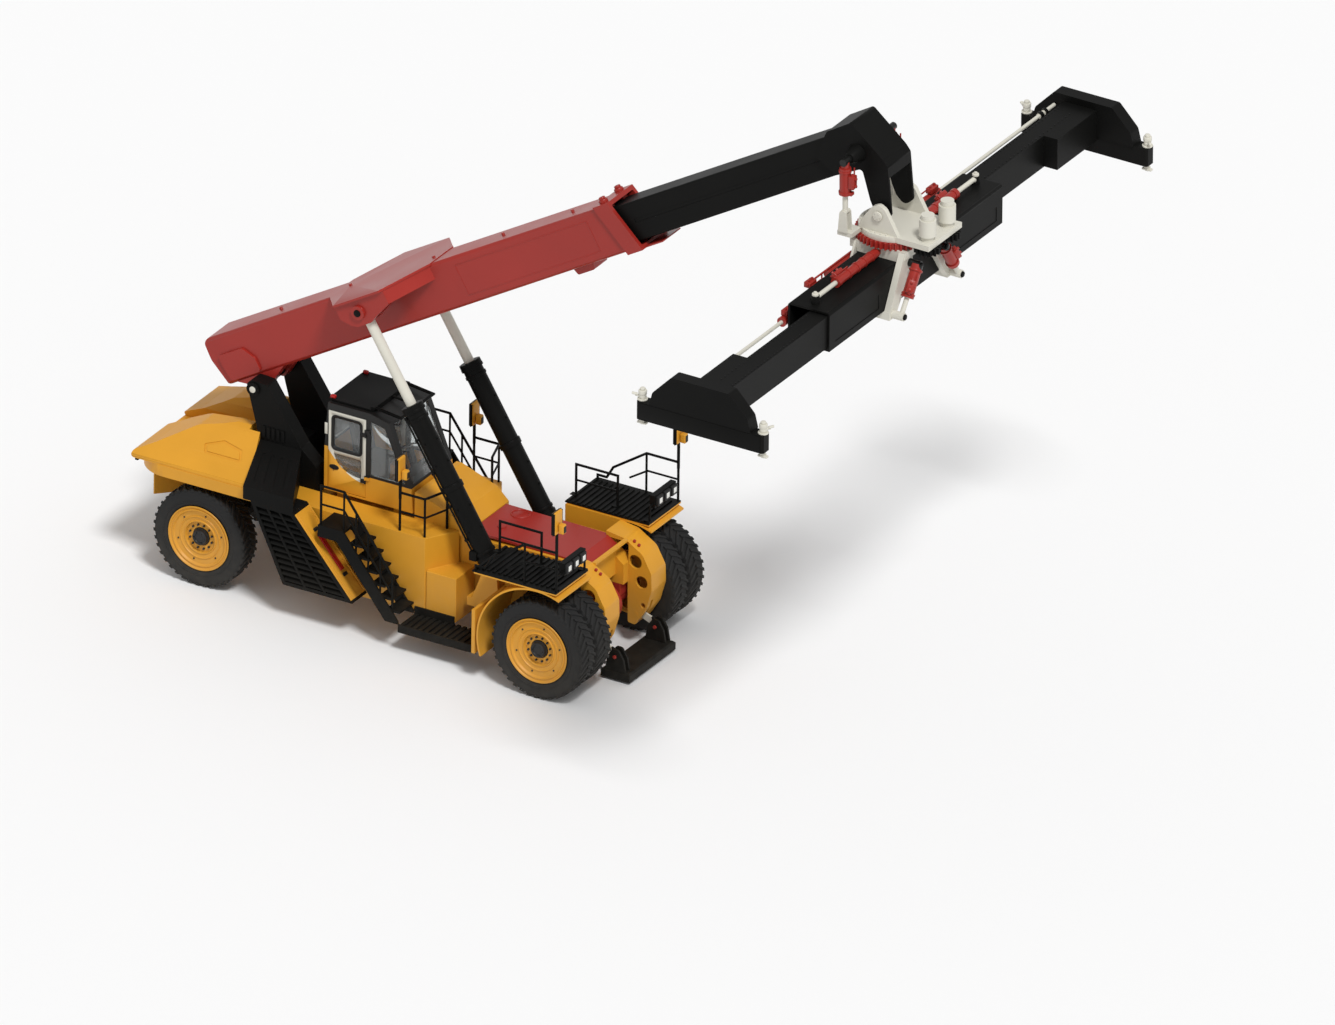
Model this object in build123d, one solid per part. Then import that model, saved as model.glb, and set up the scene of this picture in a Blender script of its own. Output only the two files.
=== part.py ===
"""Reach stacker: a container truck with a telescopic lifting boom and a top spreader.

Millimetres. X points forward, Y to the left, Z up. Every section is drawn with the front
axle at X = 0 and the ground at Z = 0. The export then moves the machine along X, so that
the origin lies under the middle of its whole length.
"""
from build123d import *
from math import acos, asin, atan2, cos, degrees, hypot, pi, radians, sin, tan
import os

# ---------------------------------------------------------------- driving dimensions
# running gear
wheelbase = 6650
tyre_r = 860            # to the tips of the lugs
tyre_w = 470
lug_height = 35
rim_r = 560
rim_t = 45
front_outer_y = 1930    # outer face of the outer front tyre
dual_gap = 30           # between the two tyres of a front pair
rear_outer_y = 1400     # outer face of a rear tyre
kingpin_y = 720         # steering pivot of a rear wheel
# boom pivot and boom, s along the boom from its pivot, n square to it
pivot_x, pivot_z = -6080, 3400
boom_angle = 30.7       # stored angle over the horizontal
boom_w, boom_h = 720, 840
boom_bottom_n = 120
boom_wall = 30
boom_corner_r = 60
mouth_s = 8030          # top of the outer boom's mouth
mouth_rake = 240        # how much further forward the mouth's lower edge is
inner_w, inner_h = 560, 660
inner_bottom_n = 210
inner_rear_s = 3750     # rear end of the inner boom inside the outer one
inner_front_s = 12560
trunnion_s, trunnion_n = 2965, 725
cheek_y = 1060          # outer face of the trunnion cheeks
cheek_t = 60            # inner cheeks
head_x, head_z = 5450, 9570     # pin that carries the spreader
head_half_y = 360       # outer face of the head's side plates
head_plate_t = 40
# lift cylinders
lift_y = 900
lift_x, lift_z = -1380, 1450    # lower pins
lift_barrel_r, lift_barrel_len = 165, 3060
lift_rod_r, lift_rod_len = 85, 3287
lift_eye_half = 132     # half width of the lower eyes
# damping cylinders between the head and the rotator
damper_y = 720
damper_top_x, damper_top_z = 4950, 10500
damper_low_x, damper_low_z = 4960, 9610
damper_r, damper_barrel_len = 95, 585
damper_rod_r, damper_rod_len = 45, 520
# rotator and saddle
slew_x = 5475           # slewing axis and middle of the spreader
ring_r = 620
ring_low_z, ring_high_z = 9050, 9170
rotator_base_z = 9270
ear_in_y, ear_out_y = 420, 510
motor_x, motor_y = 780, 305     # from the slewing axis
saddle_top_z = 9000
# spreader
beam_half_x, beam_low_z, beam_high_z = 390, 8170, 8860
beam_half_y, beam_wall = 2700, 35
runner_gap = 5          # between the telescopic beams and what they slide in
runner_low_z, runner_high_z = 8230, 8800
runner_inner_y = 1600
end_out_y, end_half_x = 6100, 1190
end_low_z, end_deck_z, end_top_z = 8010, 8330, 8920
end_w, end_plate_t = 215, 250
lock_x, lock_y = 1129.5, 5992.5   # twistlock centres for a forty-foot container
lock_drop = 120         # twistlock below the end beam
lock_r = 52
# towers
tower_in_y, tower_out_y = 375, 660
tower_rear_x = -6150
box_rear_x, box_foot_x = -5950, -5630   # rear edge of the towers' base boxes, at root and foot
pin_r = 90
# body
body_y, ledge_z, body_low_z = 1200, 1890, 530
hood_y = 660
deck_z, deck_y = 1880, 550
skirt_y = 1720          # outer face of stairs, running boards and louvre panels
sheet = 30              # plate thickness of covers and guards
rail_r = 22
mid_rail_r = 0.8 * rail_r
# cab
cab_y, roof_y = 640, 565
cab_floor_z, belt_z, roof_z = 1950, 2380, 3560
cab_rear_x, cab_front_x = -4760, -3130
door_rear_x, door_front_x = -4690, -3990
door_low_z, door_high_z = 1990, 3390
cab_wall, door_gap = 45, 6
# counterweight and front end
tail_x = -8000
arch_in_y, arch_out_y = 500, 950
foot_low_z, foot_high_z = 40, 190
foot_rear_x, foot_front_x = 490, 1030
foot_x, foot_z = 390, 590       # pin on which the foot swings
link_y, link_t = 625, 36        # arm of the foot on that pin
clearance = 6           # running gap between pieces that turn or slide
seat_gap = 0.3          # between a bearing face and what it carries

tow_jaw_reach = 40      # of the towing jaw behind the counterweight
front_reach = slew_x + end_half_x
mid_x = (front_reach + tail_x - tow_jaw_reach) / 2

os.makedirs("parts", exist_ok=True)
origin_shift = Location((-mid_x, 0, 0))


# ---------------------------------------------------------------- drawing helpers
def save(name, *solids):
    """Write the solids as one node, moved to the machine's own origin."""
    pieces = [solid.moved(origin_shift) for shape in solids for solid in shape.solids()]
    export_step(Compound(pieces) if len(pieces) > 1 else pieces[0], f"parts/{name}.step")


def outline(points, radius=0):
    """A closed face through the points, its corners rounded where a radius is given."""
    radii = radius if isinstance(radius, list) else [radius] * len(points)
    if max(radii) > 0:
        return make_face(FilletPolyline(*points, radius=radii, close=True).edges())
    return make_face(Polyline(*points, close=True).edges())


def side_prism(points, y_a, y_b, radius=0):
    """A prism with a side view given as (x, z) points, between two y planes."""
    return extrude(Plane.XZ.offset(-max(y_a, y_b)) * outline(points, radius), abs(y_b - y_a))


def front_prism(points, x_low, x_high, radius=0):
    """A prism with a front view given as (y, z) points."""
    return extrude(Plane.YZ.offset(x_low) * outline(points, radius), x_high - x_low)


def plan_prism(points, z_low, z_high, radius=0):
    """A prism with a plan view given as (x, y) points."""
    return extrude(Plane.XY.offset(z_low) * outline(points, radius), z_high - z_low)


def block(x_a, x_b, y_a, y_b, z_a, z_b):
    """A box between two x, two y and two z planes, each pair in either order."""
    low = (min(x_a, x_b), min(y_a, y_b), min(z_a, z_b))
    size = (abs(x_b - x_a), abs(y_b - y_a), abs(z_b - z_a))
    return Pos(*low) * Box(*size, align=(Align.MIN,) * 3)


def bar(start, end, radius):
    """A round bar between two points."""
    run = Vector(*end) - Vector(*start)
    return extrude(Plane(origin=start, z_dir=run) * Circle(radius), run.length)


def pin(x, z, radius, y_low, y_high):
    """A round pin across the machine."""
    return bar((x, y_low, z), (x, y_high, z), radius)


def left_of(shape):
    """The same piece on the machine's left-hand side."""
    return mirror(shape, about=Plane.XZ)


def pair(shape):
    """A piece and its twin on the other side."""
    return [shape, left_of(shape)]


def rail(points, radius=rail_r):
    """Eight-sided rail tube through the points, mitred at the bends."""
    first = Plane(origin=points[0], z_dir=Vector(*points[1]) - Vector(*points[0]))
    return sweep(first * RegularPolygon(radius, 8), path=Polyline(*points),
                 transition=Transition.RIGHT)


def on_boom(s, n):
    """The (x, z) of a point on the boom at its stored angle."""
    c, d = cos(radians(boom_angle)), sin(radians(boom_angle))
    return pivot_x + s * c - n * d, pivot_z + s * d + n * c


boom_plane = Plane(origin=(pivot_x, 0, pivot_z), z_dir=(0, -1, 0),
                   x_dir=(cos(radians(boom_angle)), 0, sin(radians(boom_angle))))


def boom_prism(points, y_a, y_b, radius=0):
    """A prism with a side view given as (s, n) points on the boom, between two y planes."""
    return extrude(boom_plane.offset(-max(y_a, y_b)) * outline(points, radius), abs(y_b - y_a))


def boom_box(s_low, s_high, half_y, n_low, n_high, radius):
    """A box section with rounded long corners that runs along the boom."""
    x, z = on_boom(s_low, (n_low + n_high) / 2)
    section = Plane(origin=(x, 0, z), x_dir=(0, 1, 0), z_dir=boom_plane.x_dir)
    return extrude(section * RectangleRounded(2 * half_y, n_high - n_low, radius), s_high - s_low)


def boom_top_prism(points, n_low, n_high, radius=0):
    """A prism with a plan view given as (s, y) points on the boom."""
    x, z = on_boom(0, n_low)
    plan = Plane(origin=(x, 0, z), x_dir=boom_plane.x_dir, z_dir=boom_plane.y_dir)
    return extrude(plan * outline(points, radius), n_high - n_low)


# ---------------------------------------------------------------- wheels and axles
tread_lugs = 20         # on each half of the tread


def lug_ring():
    """The tread's lugs, slanted bars in two staggered rows round the tyre."""
    half = tyre_w / 2
    run, thick = 135, 70    # of each bar round the tyre, and its width
    foot_z = tyre_r - lug_height - 12
    top_z = (tyre_r ** 2 - (run / 2) ** 2) ** 0.5
    lead = degrees(asin(run / 2 / tyre_r))      # a lug's corner stands on the ground
    lugs = []
    for index in range(tread_lugs):
        for hand in (-1, 1):
            shape = [(-run / 2, -hand * 25), (thick - run / 2, -hand * 25),
                     (run / 2, hand * (half - 42)), (run / 2 - thick, hand * (half - 42))]
            lug = extrude(Plane.XY.offset(foot_z) * outline(shape), top_z - foot_z)
            lugs.append(Rot(0, lead + (index + 0.25 * (hand + 1)) * 360 / tread_lugs, 0) * lug)
    return lugs


def flat_ring(profile):
    """A solid of flats round the wheel's axis, one to a lug, through (y, radius) sections."""
    sides = 2 * tread_lugs
    turn = 90 / tread_lugs
    return loft([Plane.XZ.offset(-y) * Rot(0, 0, turn) * RegularPolygon(r, sides, major_radius=False)
                 for y, r in profile], ruled=True)


def tyre_and_rim(x, y_outer, side, dish_out):
    """One wheel: a tyre with its rim, turned about the wheel's own axis.

    The outer face is at y_outer on the machine's right; side is -1 right, +1 left.
    """
    half = tyre_w / 2
    shoulder = tyre_r - lug_height
    tyre = flat_ring([(-half + 30, rim_r), (-half, rim_r + 120), (-half + 35, shoulder),
                      (half - 35, shoulder), (half, rim_r + 120), (half - 30, rim_r)])
    rim_lip = flat_ring([(-half + 15, rim_r), (-half + 31, rim_r)])
    front_hollow = flat_ring([(-half - 5, rim_r - rim_t), (-half + dish_out, rim_r - rim_t - 40)])
    back_hollow = flat_ring([(-half + dish_out + rim_t, rim_r - rim_t), (half + 5, rim_r - rim_t)])
    wheel = (tyre + rim_lip + lug_ring()) - front_hollow - back_hollow
    wheel = Pos(x, -(y_outer - half), tyre_r) * wheel
    return wheel if side < 0 else left_of(wheel)


hub_dish = 110
hub_r = 210
inner_front_y = front_outer_y - tyre_w - dual_gap
for side, name in ((-1, "right"), (1, "left")):
    outer = tyre_and_rim(0, front_outer_y, side, hub_dish)
    inner = tyre_and_rim(0, inner_front_y, side, hub_dish + 40)
    y_cap = front_outer_y - hub_dish - 5
    y_root = inner_front_y - tyre_w + 60
    hub = pin(0, tyre_r, hub_r, -y_cap, -y_root)
    spacer = pin(0, tyre_r, rim_r - rim_t + 5, -inner_front_y - dual_gap - 60, -inner_front_y + 60)
    hub = hub + (spacer - pin(0, tyre_r, rim_r - rim_t - 40, -front_outer_y, -inner_front_y + 200))
    hub = hub if side < 0 else left_of(hub)
    save(f"front_wheels_{name}", Part() + [outer, inner, hub])
    rear = tyre_and_rim(-wheelbase, rear_outer_y, side, hub_dish)
    y_cap, y_root = rear_outer_y - hub_dish - 5, rear_outer_y - tyre_w + 130
    hub = pin(-wheelbase, tyre_r, hub_r, -y_cap, -y_root)
    save(f"rear_wheel_{name}", rear + (hub if side < 0 else left_of(hub)))

# Drive axle: a cast housing with its differential bowl and brake drums.
axle_y = inner_front_y - tyre_w + 60 - seat_gap
axle_tube = pin(0, tyre_r, 170, -axle_y, axle_y)
bowl = Pos(0, 0, tyre_r) * Rot(90, 0, 0) * Cylinder(330, 420)
nose_cone = Pos(-300, 0, tyre_r) * Rot(0, -90, 0) * Cone(260, 120, 420)
mounts = [block(-190, 190, s * 480 - 130, s * 480 + 130, tyre_r + 60, tyre_r + 290)
          for s in (-1, 1)]
front_axle = Part() + [axle_tube, bowl, nose_cone] + mounts
save("front_axle", front_axle)

# Steering axle: a welded beam with a yoke at each end for the knuckles.
yoke_gap = 150
rear_beam = side_prism([(-wheelbase - 170, tyre_r - 90), (-wheelbase + 170, tyre_r - 90),
                        (-wheelbase + 130, tyre_r + 110), (-wheelbase - 130, tyre_r + 110)],
                       -kingpin_y + 130, kingpin_y - 130)
yokes = []
for side in (-1, 1):
    for z_low, z_high in ((-250, -yoke_gap), (yoke_gap, 250)):
        y_a, y_b = sorted((side * (kingpin_y - 240), side * (kingpin_y + 70)))
        yokes.append(block(-wheelbase - 100, -wheelbase + 100, y_a, y_b,
                           tyre_r + z_low, tyre_r + z_high))
    y_a, y_b = sorted((side * (kingpin_y - 240), side * (kingpin_y - 130)))
    yokes.append(block(-wheelbase - 120, -wheelbase + 120, y_a, y_b,
                       tyre_r - 250, tyre_r + 250))
spine_low_z = tyre_r + 470      # underside of the frame over the steering axle
cradle = block(-wheelbase - 260, -wheelbase + 260, -190, 190, tyre_r + 109, spine_low_z - seat_gap)
save("rear_axle", Part() + [rear_beam, cradle] + yokes)

# Steering knuckles: kingpin boss between the yoke's jaws, with the wheel's stub axle.
for side, name in ((-1, "right"), (1, "left")):
    boss = Pos(-wheelbase, side * kingpin_y, tyre_r) * Cylinder(85, 2 * (yoke_gap - seat_gap))
    y_root = rear_outer_y - tyre_w + 130 - seat_gap
    stub = pin(-wheelbase, tyre_r, 100, *sorted((side * kingpin_y, side * y_root)))
    save(f"knuckle_{name}", boss + stub)

# ---------------------------------------------------------------- chassis
# Main frame: two deep box beams with cross members, from the drive axle to the tail.
frame_out_y, frame_in_y = 610, 350
frame_top_z = 1850
frame_rear_x = -5680
spine_y = 340
axle_seat_z = tyre_r + 290 + seat_gap
frame_side = [(frame_rear_x, spine_low_z), (-5400, 560),
              (-2600, 560), (-2200, 700), (-250, axle_seat_z), (260, axle_seat_z),
              (260, 1500), (30, 1690), (-160, frame_top_z), (-1100, frame_top_z), (-1150, 1800),
              (frame_rear_x, 1800)]
spine = block(-wheelbase - 450, frame_rear_x + 490, -spine_y, spine_y, spine_low_z, 1780)
frame_beam = side_prism(frame_side, -frame_out_y, -frame_in_y)
cross = [block(x, x + 260, -frame_in_y - 1, frame_in_y + 1, z, z + 420)
         for x, z in ((-150, 1300), (-2500, 900), (-4200, 800), (-5200, 1350))]
cab_mounts = [block(x, x + 140, side * 380, side * 560, 1790, cab_floor_z - seat_gap)
              for side in (-1, 1) for x in (-4560, -3500)]
lift_lug_t = 60
lug_side = [(lift_x - 330, 1000), (lift_x + 170, 1000), (lift_x + 130, lift_z + 90),
            (lift_x, lift_z + 150), (lift_x - 130, lift_z + 90)]
lugs = []
for side in (-1, 1):
    for y in (lift_y - lift_eye_half - seat_gap - lift_lug_t, lift_y + lift_eye_half + seat_gap):
        lugs.append(side_prism(lug_side, side * y, side * (y + lift_lug_t), radius=20))
    lugs.append(block(lift_x - 420, lift_x + 170, side * (frame_out_y - 10),
                      side * (lift_y + lift_eye_half + lift_lug_t), 860, 1010))
frame = Part() + pair(frame_beam) + cross + [spine] + cab_mounts + lugs
save("chassis_frame", frame)

# Counterweight: one casting with two humps, a valley between them under the boom's tail
# and a centre block that fills the space behind the rear axle.
hump_y = 500            # ridge line of each hump
cw_front_x = -5500
cw_low_z, cw_strip_z = 1800, 2000
cw_corner_r = 620
base_plan = [(cw_front_x, -rear_outer_y), (cw_front_x, rear_outer_y), (tail_x + 60, rear_outer_y),
             (tail_x + 60, -rear_outer_y)]
cw_base = plan_prism(base_plan, cw_low_z, cw_strip_z, radius=[1, 1, cw_corner_r, cw_corner_r])
crown_z = 2700
hump_front_x = cw_front_x - 230
hump_side = [(hump_front_x, cw_strip_z - 5), (tail_x + 90, cw_strip_z - 5),
             (tail_x + 60, cw_strip_z + 90), (tail_x + 400, 2250), (tail_x + 980, 2560),
             (tail_x + 1600, crown_z - 10), (-5900, crown_z), (hump_front_x, crown_z - 10)]
hump_front = [(310, cw_strip_z - 10), (rear_outer_y - 10, cw_strip_z - 10),
              (rear_outer_y - 10, cw_strip_z + 40), (rear_outer_y - 220, 2230),
              (hump_y + 190, crown_z - 60), (hump_y + 60, crown_z), (hump_y - 60, crown_z),
              (260, 2480), (200, 2300)]
hump = side_prism(hump_side, 200, rear_outer_y, radius=[1, 60, 60, 300, 300, 300, 300, 1])
hump &= front_prism(hump_front, tail_x, cw_front_x, radius=[1, 1, 60, 300, 90, 60, 60, 60, 1])
# five-sided recess on each outer slope
slope_low, slope_high = Vector(0, rear_outer_y - 220, 2230), Vector(0, hump_y + 190, crown_z - 60)
slope_up = (slope_high - slope_low).normalized()
slope_out = Vector(1, 0, 0).cross(slope_up) * -1
flank = Plane(origin=slope_low + slope_up * 140 + Vector(-6350, 0, 0) - slope_out * 14,
              x_dir=(-1, 0, 0), z_dir=slope_out)
recess = outline([(-330, -70), (-250, 150), (120, 230), (430, 90), (360, -70)], radius=30)
hump -= flank * (extrude(recess, 90) - extrude(offset(recess, -45), 90))
humps = [hump, left_of(hump)]
tail_half_y = 640
tail_front_x = tail_x + 520     # clear of the steered wheels
tail_block = plan_prism([(tail_front_x, -200), (tail_front_x, 200), (tail_x + 80, tail_half_y),
                         (tail_x + 60, tail_half_y), (tail_x + 60, -tail_half_y),
                         (tail_x + 80, -tail_half_y)], 1000, cw_low_z + 1)
tow_z, tow_pin_r, tow_gap = 1220, 25, 90
tow_jaw = [block(tail_x - tow_jaw_reach, tail_x + 90, -120, 120, tow_z + s * tow_gap / 2,
                 tow_z + s * (tow_gap / 2 + 50)) for s in (-1, 1)]
tow_pin = Pos(tail_x, 0, tow_z) * Cylinder(tow_pin_r, 230)
tower_room = block(tower_rear_x - seat_gap, cw_front_x + 10, -tower_out_y - seat_gap,
                   tower_out_y + seat_gap, cw_low_z - 1, 3000)
box_room = plan_prism([(box_rear_x - 1, tower_out_y - 5), (box_foot_x - 1, skirt_y),
                       (cw_front_x + 10, skirt_y), (cw_front_x + 10, tower_out_y - 5)],
                      cw_strip_z - seat_gap, crown_z + 100)
counterweight = Part() + [cw_base, tail_block] + humps + tow_jaw + [tow_pin]
counterweight = counterweight - tower_room - box_room - left_of(box_room)
save("counterweight", counterweight)

# Body: side boxes with flat ledges, and the sloping hood in front of the cab.
body_rear_x, body_front_x, body_nose_x = -5400, -2530, -2210
body_plan = [(body_rear_x, -body_y), (body_front_x, -body_y), (body_nose_x, -hood_y),
             (body_rear_x, -hood_y)]
side_box = plan_prism(body_plan, body_low_z, ledge_z)
side_box -= block(body_rear_x - 10, -4200, -body_y - 10, -body_y + 250, body_low_z - 1, 1250)
step_deck = block(-2500, -1500, -body_y, -frame_out_y - 5, body_low_z, 1320)
step_deck -= block(lift_x - 560, -1490, -body_y - 5, -frame_out_y + 5, body_low_z - 5, 1325)
body = Part() + [side_box, step_deck]
save("side_bodies", *pair(body))
hood = side_prism([(-3060, 1800 + seat_gap), (-3060, 2350), (-2960, 2350), (-2290, 2110),
                   (-2070, 1900), (-2070, 1800 + seat_gap)], -hood_y, hood_y)
save("hood", hood)
deck_low_z = frame_top_z + seat_gap
deck_side = [(-2060, deck_low_z), (-2060, deck_z + 15), (-120, deck_z), (50, 1770), (50, 1720),
             (-140, deck_low_z)]
front_deck = side_prism(deck_side, -deck_y, deck_y)
for side in (-1, 1):
    front_deck -= block(-170, 60, side * (arch_in_y - clearance), side * (deck_y + 5), 1700, 1900)
cap = Pos(-1700, -180, deck_z + 5) * Cylinder(75, 60)
save("front_deck", front_deck + cap)

# Nose arches: a pair of curved plates on each side joined by a rim, with lightening holes.
arch_t = 45
arch_side = [(-160, 1950), (180, 1900), (520, 1690), (690, 1380), (700, 1080), (600, 720),
             (400, 400), (260, 420), (250, axle_seat_z - 5), (-160, 1860)]
arch_plate = side_prism(arch_side, arch_in_y, arch_out_y, radius=[1, 150, 200, 150, 200, 200, 60,
                                                                 30, 1, 1])
arch_hollow = side_prism([(-400, 1780), (120, 1780), (440, 1600), (600, 1360), (610, 1080),
                          (520, 760), (380, 500), (200, 500), (-400, 1000)],
                         arch_in_y + arch_t, arch_out_y - arch_t)
arch_windows = [(390, 1530, 120), (510, 1190, 110), (540, 780, 45)]
arch = arch_plate - arch_hollow
for x, z, r in arch_windows:
    arch -= pin(x, z, r, arch_in_y - 5, arch_out_y + 5)
arch -= block(350, 720, link_y - link_t, link_y + link_t, 380, 860)
link_face = link_t / 2 + seat_gap
for y_low, y_high in ((arch_in_y - 4, link_y - link_face), (link_y + link_face, arch_out_y + 4)):
    arch += pin(foot_x, foot_z, 50, y_low, y_high)
arch -= block(-170, 262, arch_in_y - 1, frame_out_y + seat_gap, 1140, 1850 + seat_gap)
nose_bar = block(180, 250, -arch_in_y - 5, arch_in_y + 5, 1860, 1900)
save("nose_arches", Part() + pair(arch) + [nose_bar])

# Support foot: a broad pad on four lugs, with the struts that push it down.
foot_half_y = 720
pad = block(foot_rear_x, foot_front_x, -foot_half_y, foot_half_y, foot_low_z, foot_high_z)
pad = chamfer(pad.edges().group_by(Axis.Z)[-1], 30)
foot_lug = [(560, foot_high_z - 5), (940, foot_high_z - 5), (900, 400), (800, 560), (690, 560),
            (600, 420)]
foot_lugs = [side_prism(foot_lug, s * y - 20, s * y + 20, radius=[1, 1, 1, 60, 60, 1])
             for s in (-1, 1) for y in (link_y - 60, link_y + 60)]
foot_link = [(foot_x, foot_z + 60), (foot_x - 60, foot_z), (foot_x, foot_z - 60), (770, 370),
             (820, 440), (770, 510)]
links = [side_prism(foot_link, s * link_y - link_t / 2, s * link_y + link_t / 2,
                    radius=[50, 50, 50, 50, 50, 50]) for s in (-1, 1)]
links += [pin(750, 440, 40, s * link_y - 90, s * link_y + 90) for s in (-1, 1)]
save("support_foot", Part() + [pad] + foot_lugs + links)

# Boom towers: two hollow cheeks that stand on a flared base and carry the boom's pin.
tower_side = [(pivot_x - 130, pivot_z + 60), (pivot_x - 60, pivot_z + 140),
              (pivot_x + 60, pivot_z + 140), (pivot_x + 250, pivot_z + 120), (-5190, 2570), (-4900, 2300),
              (-4900, 1800 + seat_gap), (tower_rear_x, 1800 + seat_gap), (tower_rear_x, 2300),
              (-5960, 2530)]
tower = side_prism(tower_side, tower_in_y, tower_out_y, radius=[40, 60, 60, 60, 120, 60, 1, 1, 60, 80])
tower -= pin(pivot_x, pivot_z, pin_r + seat_gap, tower_in_y - 5, tower_out_y + 5)
# base box: it spreads outwards and forwards down to the louvre panel, with pressed slots
root_y = tower_out_y - 5
root_w, foot_w, root_z, foot_z_high = 770, 940, 2530, 2230
box_root = [(box_rear_x, cw_strip_z), (box_rear_x + root_w, cw_strip_z),
            (box_rear_x + root_w, root_z), (box_rear_x, root_z)]
box_face = [(box_foot_x, cw_strip_z), (box_foot_x + foot_w, cw_strip_z),
            (box_foot_x + foot_w, foot_z_high), (box_foot_x, foot_z_high)]
flare = loft([Plane.XZ.offset(-root_y) * outline(box_root),
              Plane.XZ.offset(-skirt_y) * outline(box_face)], ruled=True)
box_slots = 4
for index in range(box_slots):
    share = (index + 1) / (box_slots + 1)
    high = Vector(box_rear_x + share * root_w, root_y, root_z)
    low = Vector(box_foot_x + share * foot_w, skirt_y, foot_z_high)
    fall = low - high
    top_face = Plane(origin=high + fall * 0.55, x_dir=fall, z_dir=Vector(1, 0, 0).cross(fall))
    flare -= top_face * Pos(0, 0, -10) * extrude(SlotOverall(fall.length * 0.6, 75), 60)
# cooling ribs low on the outer cheek
cheek_ribs = 5
ribs = [block(-5900 + index * 90, -5850 + index * 90, root_y, tower_out_y + 22, 2590, 2790)
        for index in range(cheek_ribs)]
tower = tower + [flare] + ribs
tie = block(-5900, -5500, -tower_in_y - 2, tower_in_y + 2, 2010, 2350)
save("boom_towers", Part() + pair(left_of(tower)) + [tie])
save("boom_pin", pin(pivot_x, pivot_z, pin_r, -tower_out_y - 35, tower_out_y + 35)
     + [pin(pivot_x, pivot_z, pin_r + 25, s * (tower_out_y + 22) - 13, s * (tower_out_y + 22) + 13)
        for s in (-1, 1)])

# Louvre panels: the air intakes of the engine room, a slanted stack of blades on each side.
louvre_side = [(-5490, 2000 - seat_gap), (-4710, 2000 - seat_gap), (-3570, 660), (-4870, 660)]
panel = side_prism(louvre_side, -skirt_y, -skirt_y + 470)
frame_cut = side_prism([(-5390, 1930), (-4740, 1930), (-3700, 720), (-4830, 720)],
                       -skirt_y - 5, -skirt_y + 60)
panel -= frame_cut
blades = 12
blade_pitch = (1920 - 740) / blades
for index in range(blades):
    z = 740 + index * blade_pitch
    lean = (1930 - z) / (1930 - 720)
    x_low = -5390 + lean * (5390 - 4830) - 5
    x_high = -4740 + lean * (4740 - 3700) + 5
    slat = [(-skirt_y + 6, z), (-skirt_y + 62, z + 45), (-skirt_y + 62, z + 65),
            (-skirt_y + 6, z + 20)]
    panel += front_prism(slat, x_low, x_high) & side_prism(louvre_side, -skirt_y, -skirt_y + 80)
for share in (1 / 3, 2 / 3):        # two slanted posts divide the blades into three columns
    x_high, x_low = -5390 + share * 650, -4830 + share * 1130
    panel += side_prism([(x_high - 25, 1940), (x_high + 25, 1940), (x_low + 25, 710),
                         (x_low - 25, 710)], -skirt_y + 2, -skirt_y + 62)
save("louvre_panels", *pair(panel))

# Stairs: a platform, six treads between two stringers and the handrail.
stair_in_y = body_y + seat_gap
treads = 6
stair_top_x, stair_top_z = -3750, 1910
stair_low_x, stair_low_z = -2750, 530
platform = block(-4230, stair_top_x, -skirt_y, -stair_in_y, stair_top_z - 50, stair_top_z)
stringer = [(-4230, 1900), (-3760, 1900), (-2720, 560), (-2720, 520), (-2960, 520), (-3880, 1700),
            (-4230, 1700)]
stairs = [platform]
for y in (-skirt_y, -stair_in_y - 40):
    stairs.append(side_prism(stringer, y, y + 40))
for index in range(1, treads + 1):
    part_way = index / (treads + 1)
    x = stair_top_x + part_way * (stair_low_x - stair_top_x)
    z = stair_top_z + part_way * (stair_low_z - stair_top_z)
    stairs.append(block(x - 60, x + 190, -skirt_y + 39, -stair_in_y - 39, z - 35, z))
hand_y = -1650
hand_top, hand_bend, hand_foot = (-4210, 2585), (-3780, 2585), (-2860, 1300)
stairs.append(rail([(hand_top[0], hand_y, 1900), (hand_top[0], hand_y, hand_top[1]),
                    (hand_bend[0], hand_y, hand_bend[1]), (hand_foot[0], hand_y, hand_foot[1]),
                    (hand_foot[0], hand_y, 600)]))
posts = 4
for index in range(posts):
    x = hand_bend[0] + index * (hand_foot[0] - hand_bend[0]) / posts
    z = hand_bend[1] + index * (hand_foot[1] - hand_bend[1]) / posts
    stairs.append(rail([(x, hand_y, z - 700 if index else 1900), (x, hand_y, z)], mid_rail_r))
mid_drop = 330
stairs.append(rail([(hand_top[0], hand_y, hand_top[1] - mid_drop),
                    (hand_bend[0], hand_y, hand_bend[1] - mid_drop),
                    (hand_foot[0], hand_y, hand_foot[1] - mid_drop)], mid_rail_r))
save("stairs", *pair(Part() + stairs))

# Running boards: ribbed steps along each side, between the stairs and the front fender.
board = block(-3140, -1260, -skirt_y, -stair_in_y, 430, 490)
ribs = 17
for index in range(ribs):
    x = -3120 + index * (1840 - 60) / (ribs - 1)
    board += block(x, x + 60, -skirt_y, -stair_in_y, 485, 520)
board += block(-3140, -1260, -skirt_y, -skirt_y + 25, 380, 520)
board += block(-2700, -1960, -stair_in_y - 25, -stair_in_y, 480, 640)
board -= block(-3145, -2715, -skirt_y - 5, -stair_in_y + 5, 375, 525)
save("running_boards", *pair(board))

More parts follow.
